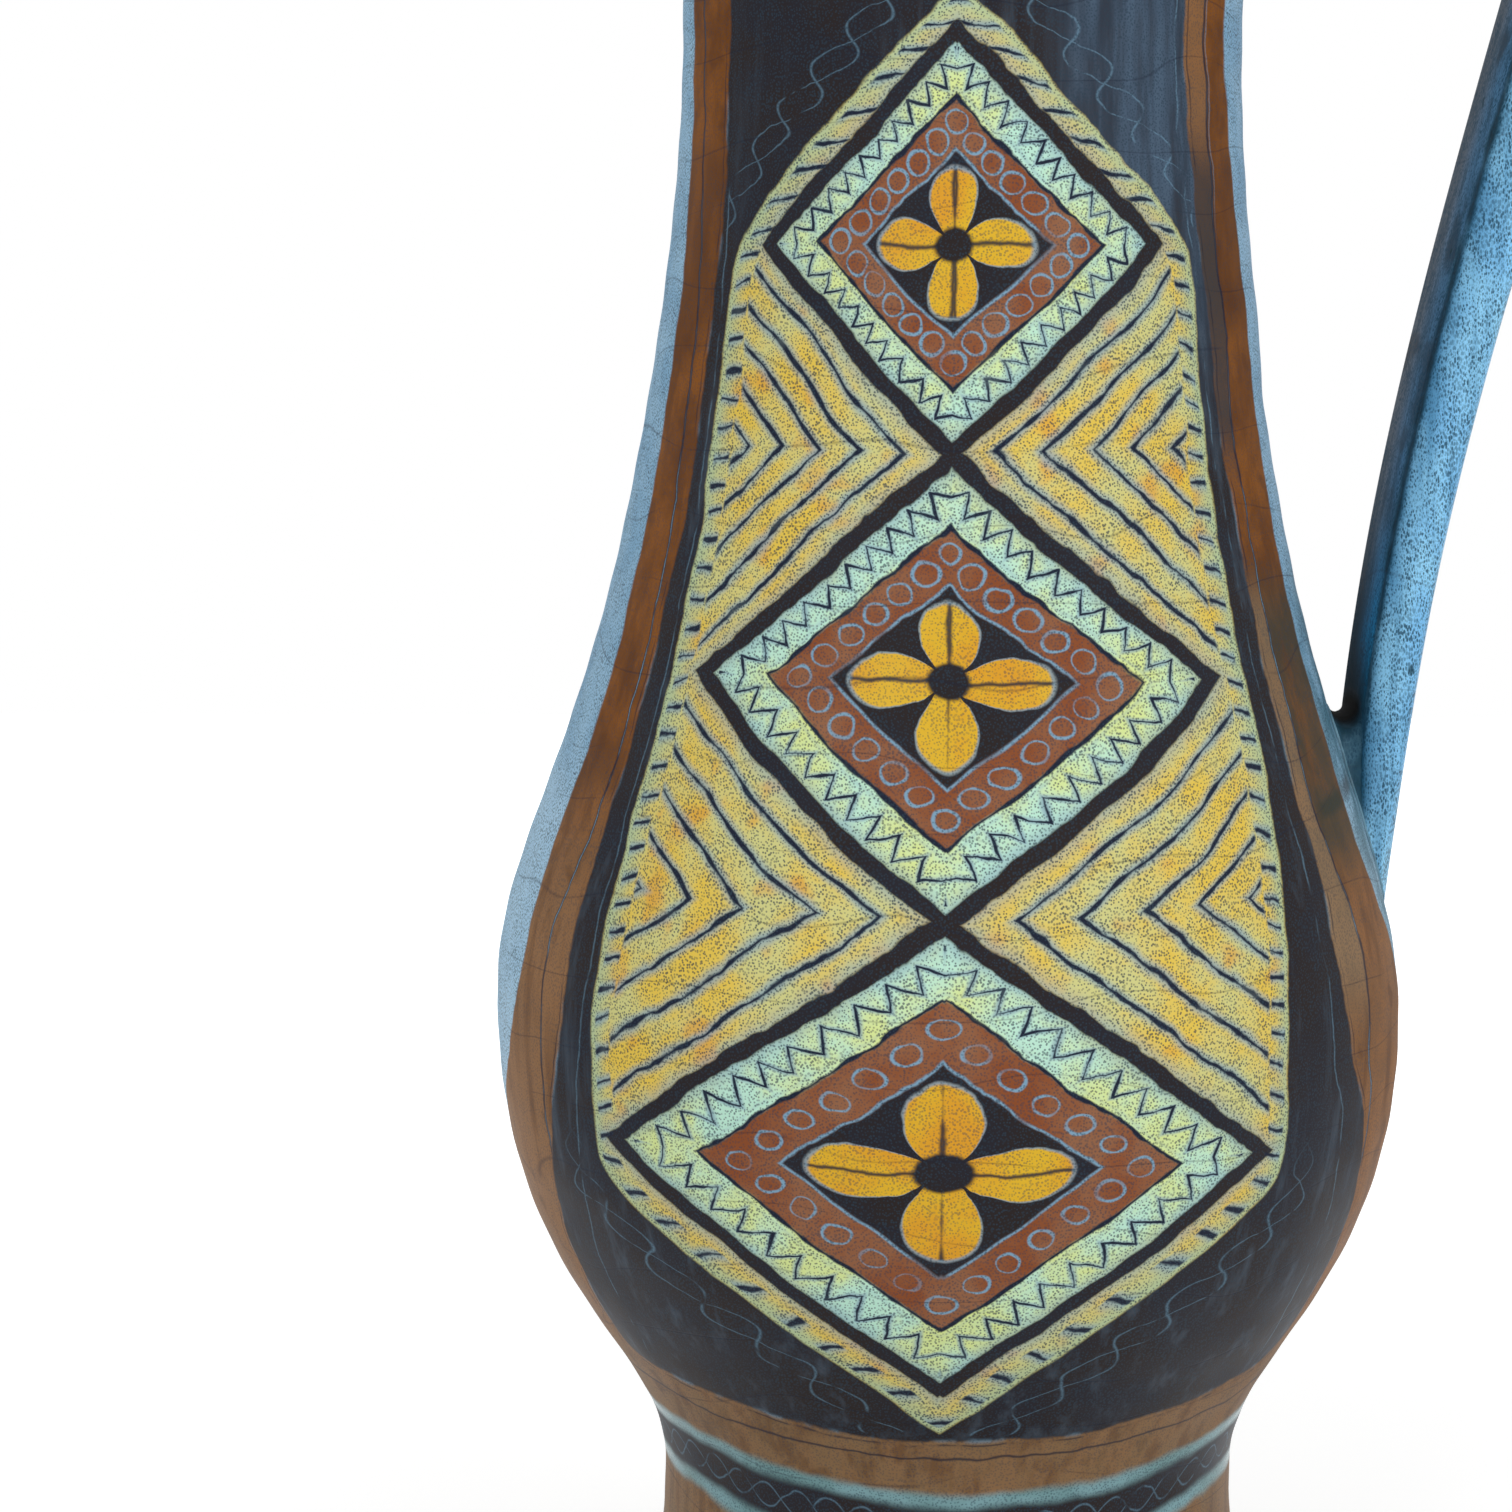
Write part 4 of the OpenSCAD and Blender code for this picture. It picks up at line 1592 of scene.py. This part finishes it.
@dataclass
class Foot(Section):
    """The pedestal foot with the jug's floor, its standing ring and the turned recess."""

    toe_round: float = 3.0
    ring_width: float = 9.0
    recess: float = 3.5
    recess_slope: float = 35.0
    floor: float = 8.0
    floor_round: float = 10.0
    axis: float = 0.01

    def build(self) -> None:
        """Turns the foot."""
        wall = self.wall
        stand = wall.toe.radius - self.toe_round
        ring_in = stand - self.ring_width
        recess_in = ring_in - self.recess * math.tan(math.radians(self.recess_slope))
        floor_top = self.recess + self.floor
        samples = wall.span(wall.toe, wall.waist, wall.row)
        inner = wall.inside(samples)
        turn = floor_top + self.floor_round
        corner = float(np.interp(turn, inner[:, 1], inner[:, 0]))
        turning = Turning("foot", self.bend, wall.columns, strips=2, skin_share=0.62)
        under = [[r, self.recess] for r in (self.axis, recess_in * 0.5, recess_in)]
        turning.run(under + [[ring_in, 0.0], [stand, 0.0]], Zone.CLAY)
        turning.run(arc((stand, self.toe_round), self.toe_round, -80, 0), Zone.SKIN)
        turning.run(samples[:, :2], Zone.SKIN)
        turning.run(wall.lower_rim(samples[-1]), Zone.CLAY)
        back = inner[(inner[:, 1] > turn) & (inner[:, 1] < wall.waist.height)][::-2]
        turning.run(back, Zone.INSIDE)
        turning.run(arc((corner - self.floor_round, turn), self.floor_round, 0, -90), Zone.INSIDE)
        turning.run([[corner * 0.4, floor_top], [self.axis, floor_top]], Zone.INSIDE)
        self.piece = make_piece("thrown_foot", turning.mesh(closed=False), ["foot"])
        self.dress(self.kiln.banded)


@dataclass
class Belly(Section):
    """The belly, from the waist to the shoulder."""

    def build(self) -> None:
        """Turns the belly."""
        wall = self.wall
        turning, samples = self.rise("belly", (wall.waist, wall.widest, wall.shoulder), 2)
        turning.run(wall.lower_rim(samples[-1]), Zone.CLAY)
        mesh = self.close(turning, samples, wall.shoulder.height)
        self.piece = make_piece("thrown_belly", mesh, ["belly"])
        self.dress(self.kiln.painted)


@dataclass
class Neck(Section):
    """The neck and mouth, with the pouring lip pulled out of its rim."""

    lip_start: float = 54.0
    lip_reach: float = 17.0
    lip_rise: float = 5.0
    lip_spread: float = 25.0
    nip_depth: float = 3.5
    nip_angle: float = 54.0
    nip_spread: float = 20.0

    def bend(self, radius: Array, height: Array, angle: Array) -> Array:
        """Places outline points round the axis and pulls the lip out of them.

        Args:
            radius: Their radii.
            height: Their heights.
            angle: Their angles round the axis in radians.

        Returns:
            The points in millimetres.
        """
        off = np.abs(np.degrees(angle) - 180.0)
        start = self.wall.rim.height - self.lip_start
        part = ease((height - start) / self.lip_start)
        lip = bell(off / self.lip_spread)
        nip = bell((off - self.nip_angle) / self.nip_spread)
        r = radius + part * (self.lip_reach * lip - self.nip_depth * nip) + self.wall.uneven(angle, height)
        return np.column_stack([r * np.cos(angle), r * np.sin(angle), height + part * self.lip_rise * lip])

    def build(self) -> None:
        """Turns the neck and pulls its lip."""
        wall = self.wall
        turning, samples = self.rise("neck", (wall.shoulder, wall.narrowest, wall.rim), 1)
        outer = samples[-1, 0]
        half = (outer - wall.inside(samples)[-1, 0]) / 2
        edge = arc((outer - half, wall.rim.height), half, 0, 180, 12)
        turning.run(edge[1:7], Zone.SKIN).run(edge[7:], Zone.INSIDE)
        mesh = self.close(turning, samples, wall.rim.height - 1)
        self.piece = make_piece("thrown_neck", mesh, ["neck"])
        self.dress(self.kiln.painted)


@dataclass
class SlipRing(Section):
    """A ring of luting slip in the lap between two sections, set back behind the closed seam."""

    at: Seam = Seam.WAIST
    setback: float = 0.7

    def build(self) -> None:
        """Turns the ring in its lap."""
        wall, name = self.wall, self.at.value
        stations = {Seam.WAIST: (wall.waist, wall.widest), Seam.SHOULDER: (wall.shoulder, wall.narrowest)}
        seam = wall.span(*stations[self.at], wall.row)[0]
        outer = seam[0] - self.setback
        lap = [*wall.lower_rim(seam), *wall.upper_seat(seam)[:3]]
        outline = [[outer, seam[1]], *lap, [outer, seam[1] + wall.slip]]
        turning = Turning(name, self.bend, wall.columns // 2).run(outline[::-1], Zone.SKIN)
        self.piece = make_piece(f"{name}_ring", turning.mesh(closed=True), [name])
        self.piece.data.materials.append(self.kiln.slip)


@dataclass
class Handle:
    """The pulled strap, pressed on to the belly and the neck, with the slip under both ends.

    What ends in _inward is a place round the section, 1 at the middle of the inner face, and what
    ends in _aside is a place across that face, 1 at its edge. A pair of either gives where a change
    starts and how far it takes. The pairs thick and wide are the sizes at the belly and the neck.
    """

    wall: Wall
    kiln: Kiln
    low_height: float = 142.0
    low_sink: float = 6.8
    low_lean: float = 2.5
    low_pull: float = 58.0
    bow_height: float = 310.0
    bow_gap: float = 55.6
    bow_lean: float = 15.5
    bow_pull_low: float = 78.0
    bow_pull_high: float = 52.0
    top_height: float = 351.0
    top_sink: float = 9.0
    top_dip: float = 20.0
    top_pull: float = 38.0
    thick: Span = (8.6, 16.2)
    wide: Span = (23.0, 32.0)
    flare: float = 3.0
    flare_fade: float = 24.0
    tongue: float = 0.22
    tongue_fade: float = 26.0
    tongue_square: float = 2.1
    square: float = 4.5
    rings: int = 190
    around: int = 64
    line_steps: int = 300
    trim_steps: int = 1600
    low_part: float = 0.45
    top_part: float = 0.7
    caps: tuple[float, ...] = (0.72, 0.44, 0.16)
    bead: float = 0.12
    pad_under: float = 0.02
    web_round: float = 3.0
    web_reach: float = 11.8
    web_least: float = 0.25
    web_rows: int = 9
    web_inward: Span = (0.34, 0.5)
    # Painted shade in the crotch: deep near the wall, and fainter up the middle of the inner face.
    crotch_rings: int = 4
    crotch_inward: float = 0.62
    deep_shade_aside: Span = (0.95, 0.45)
    fade_rings: int = 14
    web_note_inward: float = 0.4
    shade_aside: Span = (0.85, 0.5)
    upper_shade_strength: float = 0.6
    plain_rings: float = 3.0
    face_inward: float = 0.72
    arris_eighths: tuple[int, ...] = (3, 5)
    far_arris: float = 9.0

    def __post_init__(self) -> None:
        """Lays out the strap's middle line."""
        wall = self.wall
        low = np.array([wall.radius(np.array(self.low_height)) - self.low_sink, self.low_height])
        bow = np.array([wall.narrowest.radius + self.bow_gap, self.bow_height])
        top = np.array([wall.radius(np.array(self.top_height)) - self.top_sink, self.top_height])
        lean, bow_lean, dip = (math.radians(v) for v in (self.low_lean, self.bow_lean, self.top_dip))
        rise = np.array([math.sin(lean), math.cos(lean)])
        over = np.array([math.sin(bow_lean), math.cos(bow_lean)])
        into = np.array([-math.cos(dip), -math.sin(dip)])
        share = np.linspace(0, 1, self.line_steps)
        first = cubic([low, low + rise * self.low_pull, bow - over * self.bow_pull_low, bow], share)
        second = cubic([bow, bow + over * self.bow_pull_high, top - into * self.top_pull, top], share)
        self.line, ways = (np.concatenate([a, b[1:]]) for a, b in zip(first, second))
        self.ways = unit(ways)
        walked = np.concatenate([[0], np.cumsum(np.linalg.norm(np.diff(self.line, axis=0), axis=1))])
        self.length = float(walked[-1])
        self.share = walked / self.length

    def place(self, share: Array, turn: Array) -> Array:
        """Finds points on the strap's skin.

        Args:
            share: How far along the strap, from 0 at the belly to 1 at the neck.
            turn: The place round its section in radians, 0 on the outer face.

        Returns:
            The points in millimetres.
        """
        x, z = (np.interp(share, self.share, self.line[:, i]) for i in (0, 1))
        way_x, way_z = (np.interp(share, self.share, self.ways[:, i]) for i in (0, 1))
        along = share * self.length
        root = bell(along / self.flare_fade) + bell((self.length - along) / self.flare_fade)
        thick = self.thick[0] + (self.thick[1] - self.thick[0]) * share
        wide = self.wide[0] + (self.wide[1] - self.wide[0]) * share + self.flare * root
        cos, sin = np.cos(turn), np.sin(turn)
        tongue = bell(along / self.tongue_fade) * np.clip(cos + 0.5, 0, 1)
        wide = wide * (1.0 - self.tongue * tongue)
        power = 2 / (self.square + (self.tongue_square - self.square) * tongue)
        across = thick / 2 * np.sign(cos) * np.abs(cos) ** power
        aside = wide / 2 * np.sign(sin) * np.abs(sin) ** power
        return np.stack([x + way_z * across, aside, z - way_x * across], -1)

    def _clear(self, points: Array) -> Array:
        """How far points stand off the wall, below nothing inside it."""
        x, y, z = np.moveaxis(points, -1, 0)
        return np.hypot(x, y) - (self.wall.radius(z) + self.wall.uneven(np.arctan2(y, x), z))

    def _trims(self, turn: Array) -> tuple[Array, Array]:
        """Finds where each long line of the strap leaves the slip on the belly and meets that on the neck.

        Args:
            turn: The places round the section.

        Returns:
            How far along the strap each line starts and ends.
        """
        grid = np.linspace(0, 1, self.trim_steps)
        starts, ends = np.zeros(len(turn)), np.ones(len(turn))
        for k, t in enumerate(turn):
            off = self._clear(self.place(grid, np.full(len(grid), t))) - self.wall.slip
            low = np.max(np.nonzero((off < 0) & (grid < self.low_part))[0])
            top = np.min(np.nonzero((off < 0) & (grid > self.top_part))[0])
            starts[k] = np.interp(0, off[low : low + 2], grid[low : low + 2])
            ends[k] = np.interp(0, -off[top - 1 : top + 1], grid[top - 1 : top + 1])
        return starts, ends

    def _on_wall(self, y: Array, z: Array, proud: float) -> Array:
        """Finds points on the wall, or standing proud of it.

        Args:
            y: How far aside each is.
            z: Its height.
            proud: How far it stands off the wall.

        Returns:
            The points in millimetres.
        """
        radius = self.wall.radius(z) + proud
        angle = np.arcsin(np.clip(y / radius, -1, 1))
        radius = radius + self.wall.uneven(angle, z)
        return np.column_stack([np.sqrt(np.maximum(radius**2 - y**2, 0)), y, z])

    def _shrunk(self, ring: Array, share: float, proud: float, grow: float = 0.0) -> Array:
        """Draws a ring on the wall in towards its middle, or lets it grow.

        Args:
            ring: The ring's points.
            share: How much of its size it keeps.
            proud: How far it stands off the wall.
            grow: How many millimetres it grows by.

        Returns:
            The new ring's points.
        """
        flat = ring[:, 1:]
        middle = flat.mean(0)
        arm = flat - middle
        moved = middle + arm * share + unit(arm) * grow
        return self._on_wall(moved[:, 0], moved[:, 1], proud)

    def build(self) -> None:
        """Pulls the strap, trims it to the walls, and lays the slip under its ends."""
        turn = -np.arange(self.around) * 2 * math.pi / self.around
        starts, ends = self._trims(turn)
        web, starts = self._web(turn, starts)
        steps = np.linspace(0, 1, self.rings)[:, None]
        share = starts + (ends - starts) * steps
        body = self.place(share, np.broadcast_to(turn, share.shape))
        low_cap = [self._shrunk(web[0], s, self.wall.slip) for s in self.caps[::-1]]
        top_cap = [self._shrunk(body[-1], s, self.wall.slip) for s in self.caps]
        mesh = ring_mesh("strap", low_cap + web + list(body) + top_cap)
        self._mark(mesh, turn, len(web) + self.rings)
        strap = make_piece("strap_handle", mesh, ["handle"], sharp=50.0)
        strap.data.materials.append(self.kiln.blue)
        self._pad("handle_low_slip", web[0], False)
        self._pad("handle_top_slip", body[-1], True)

    def _web(self, turn: Array, starts: Array) -> tuple[list[Array], Array]:
        """Rounds the crotch, where the strap's inner face was wiped on to the belly.

        Args:
            turn: The places round the section.
            starts: Where each long line of the strap leaves the belly's slip.

        Returns:
            Rings from the wall up to the plain strap, and where each line starts after them.
        """
        start, over = self.web_inward
        inner = ease((-np.cos(turn) - start) / over)
        begins = starts + (inner * self.web_reach + self.web_least) / self.length
        foot, strap = self.place(starts, turn), self.place(begins, turn)
        wall = self._on_wall(foot[:, 1], foot[:, 2] + inner * self.web_reach, self.wall.slip)
        slope = self._on_wall(wall[:, 1], wall[:, 2] - 1.0, self.wall.slip) - wall
        bend_wall = wall + unit(slope) * inner[:, None] * self.web_round
        bend_strap = strap + unit(foot - strap) * (inner * self.web_round + self.web_least / 3)[:, None]
        controls = [wall, bend_wall, bend_strap, strap]
        shares = np.arange(self.web_rows) / self.web_rows
        return [cubic(controls, np.array([share]))[0] for share in shares], begins

    def _mark(self, mesh: Mesh, turn: Array, rings: int) -> None:
        """Notes at each point how far it is from an arris, and how much painted shade and web colour it
        gets near the crotch.

        Args:
            mesh: The strap's mesh.
            turn: The places round the section.
            rings: How many rings the strap has between its caps.
        """
        section = self.place(np.full(len(turn), 0.5), turn)
        edges = np.linalg.norm(np.roll(section, -1, axis=0) - section, axis=1)
        walked, girth = np.concatenate([[0], np.cumsum(edges)[:-1]]), edges.sum()
        corners = [walked[int(self.around * eighth / 8)] for eighth in self.arris_eighths]
        gaps = np.array([np.abs((walked - c + girth / 2) % girth - girth / 2) for c in corners])
        above_web = (np.arange(rings) - self.web_rows)[:, None]
        plain = ease((above_web + 1) / self.plain_rings)
        deep_shade, wiped = (ease(1.0 - above_web / count) for count in (self.crotch_rings, self.fade_rings))
        inward = -np.cos(turn)
        aside = np.abs(np.sin(turn)) ** (2 / self.square)

        def off_edge(start: float, over: float) -> Array:
            """Eases in from the inner face's edge towards its middle."""
            return ease((start - aside) / over)

        # Painted shade: deep in the crotch near the wall, and fainter up the middle of the inner face.
        dim = wiped * off_edge(*self.shade_aside) * self.upper_shade_strength
        shade = np.maximum(deep_shade * off_edge(*self.deep_shade_aside), dim)
        notes = {
            Note.ARRIS: (gaps.min(0) * plain + self.far_arris * (1.0 - plain), self.far_arris),
            Note.INNER_FACE: (plain * (inward > self.face_inward), 0.0),
            Note.CROTCH: (shade * (inward > self.crotch_inward), 0.0),
            Note.WEB: (wiped * ease(inward / self.web_note_inward), 0.0),
        }
        for note, (values, at_caps) in notes.items():
            cap = np.full((len(self.caps), self.around), at_caps)
            layer = mesh.attributes.new(note.value, "FLOAT", "POINT")
            layer.data.foreach_set("value", np.concatenate([cap, values, cap]).ravel().astype(np.float32))

    def _pad(self, node: str, ring: Array, flip: bool) -> None:
        """Lays the slip between one end of the strap and the wall, squeezed out in a fine bead.

        Args:
            node: The CAD node that it stands for.
            ring: The strap's edge at that end.
            flip: Whether the ring runs the other way round, as at the neck.
        """
        slip = self.wall.slip
        under = [self._shrunk(ring, share, self.pad_under) for share in (0.2, 0.6)]
        squeezed = ((0.7, 0.1), (1.0, 0.55), (0.5, 1.0))
        bead = [self._shrunk(ring, 1.0, slip * proud, self.bead * grow) for grow, proud in squeezed]
        over = [self._shrunk(ring, share, slip) for share in (0.97, 0.6, 0.2)]
        rings = under + bead + over
        mesh = ring_mesh(node, rings[::-1] if flip else rings)
        piece = make_piece(f"{node}_pad", mesh, [node], sharp=60.0)
        piece.data.materials.append(self.kiln.slip)


# Studio


@dataclass
class Lamp:
    """A soft lamp: where it stands, how large it is and its power in watts."""

    name: str
    place: tuple[float, float, float]
    size: float
    power: float


@dataclass
class Studio:
    """A white room with soft lamps and the camera that took the picture."""

    aim: Vector = Vector((0.0, 0.0, 0.2))
    floor_size: float = 1.6
    floor_grey: float = 0.86
    floor_rough: float = 0.9
    floor_glow: float = 0.44
    far_glow: float = 0.8
    far_from: Span = (240.0, 620.0)
    ambient: float = 0.46
    seen_by: tuple[str, ...] = ("Camera", "Glossy", "Transmission")
    lamps: tuple[Lamp, ...] = (
        Lamp("key_lamp", (-0.7, -1.2, 1.0), 0.9, 6.6),
        Lamp("fill_lamp", (0.9, -1.1, 0.7), 0.9, 6.0),
        Lamp("back_lamp", (0.2, 1.2, 1.1), 1.0, 4.6),
    )
    picture_side: float = 1512.0
    focal: float = 3700.0
    sensor: float = 36.0
    eye: Vector = Vector((-0.0518, -0.6580, 0.2576))
    heading: float = 1.479
    pitch: float = 7.124
    roll: float = 0.341

    def build(self) -> None:
        """Sets up the room, the lamps and the camera."""
        bpy.context.scene.view_settings.view_transform = "Standard"
        self._world()
        self._floor()
        for lamp in self.lamps:
            self._lamp(lamp)
        self._camera()

    def _seen(self, sketch: Sketch) -> Field:
        """A mask of the rays that come straight from the camera or off a glossy or clear surface."""
        path = sketch.node("LightPath")
        return reduce(Field.high, [sketch.out(path, f"Is {kind} Ray") for kind in self.seen_by])

    def _world(self) -> None:
        """Fills the room with even light, and shows it white."""
        world = bpy.data.worlds.new("white_room")
        bpy.context.scene.world = world
        sketch = Sketch.blank(world)
        strength = self._seen(sketch) * (1.0 - self.ambient) + self.ambient
        light = sketch.node("Background", {"Color": WHITE, "Strength": strength})
        sketch.node("OutputWorld", {"Surface": light.outputs[0]})

    def _floor(self) -> None:
        """Lays a white floor that keeps the jug's shadow and fades into the room far from it."""
        side, grey = self.floor_size, self.floor_grey
        mesh = bpy.data.meshes.new("floor")
        corners = [(-side, -side, 0), (side, -side, 0), (side, side, 0), (-side, side, 0)]
        mesh.from_pydata(corners, [], [(0, 1, 2, 3)])
        floor = put("floor", mesh)
        material = bpy.data.materials.new("white_floor")
        sketch = Sketch.blank(material)
        _, x, y, _ = sketch.place()
        glow = sketch.hypot(x, y).ramp(*self.far_from, self.floor_glow, self.far_glow)
        feeds = {
            "Base Color": (grey, grey, grey, 1.0),
            "Roughness": self.floor_rough,
            "Specular IOR Level": 0.0,
            "Emission Color": WHITE,
            "Emission Strength": self._seen(sketch) * glow,
        }
        shader = sketch.node("BsdfPrincipled", feeds)
        sketch.node("OutputMaterial", {"Surface": shader.outputs[0]})
        mesh.materials.append(material)

    def _lamp(self, lamp: Lamp) -> None:
        """Stands one soft lamp and turns it to the jug.

        Args:
            lamp: The lamp.
        """
        data = bpy.data.lights.new(lamp.name, "AREA")
        data.shape = "DISK"
        data.size = lamp.size
        data.energy = lamp.power
        made = put(lamp.name, data)
        made.location = lamp.place
        made.rotation_euler = (self.aim - made.location).to_track_quat("-Z", "Y").to_euler()

    def _camera(self) -> None:
        """Stands the camera where the picture was taken from."""
        heading, pitch, roll = (math.radians(v) for v in (self.heading, self.pitch, self.roll))
        level = Vector((math.sin(heading), math.cos(heading), 0.0))
        right = Vector((math.cos(heading), -math.sin(heading), 0.0))
        ahead = level * math.cos(pitch) + Vector((0.0, 0.0, -math.sin(pitch)))
        up = right.cross(ahead)
        across = right * math.cos(roll) + up * math.sin(roll)
        upright = up * math.cos(roll) - right * math.sin(roll)
        data = bpy.data.cameras.new("camera")
        data.sensor_width = self.sensor
        data.lens = self.sensor * self.focal / self.picture_side
        camera = put("camera", data)
        turn = Matrix((across, upright, -ahead)).transposed()
        camera.matrix_world = Matrix.Translation(self.eye) @ turn.to_4x4()
        bpy.context.scene.camera = camera


def main() -> None:
    """Builds the jug's pieces in order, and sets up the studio."""
    logging.basicConfig(level=logging.INFO, format="%(name)s: %(message)s")
    wall, kiln = Wall(), Kiln()
    sections = [Foot(wall, kiln), SlipRing(wall, kiln, at=Seam.WAIST), Belly(wall, kiln)]
    sections += [SlipRing(wall, kiln, at=Seam.SHOULDER), Neck(wall, kiln), Handle(wall, kiln)]
    for section in sections:
        section.build()
    Studio().build()
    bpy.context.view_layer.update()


if __name__ == "__main__":
    main()
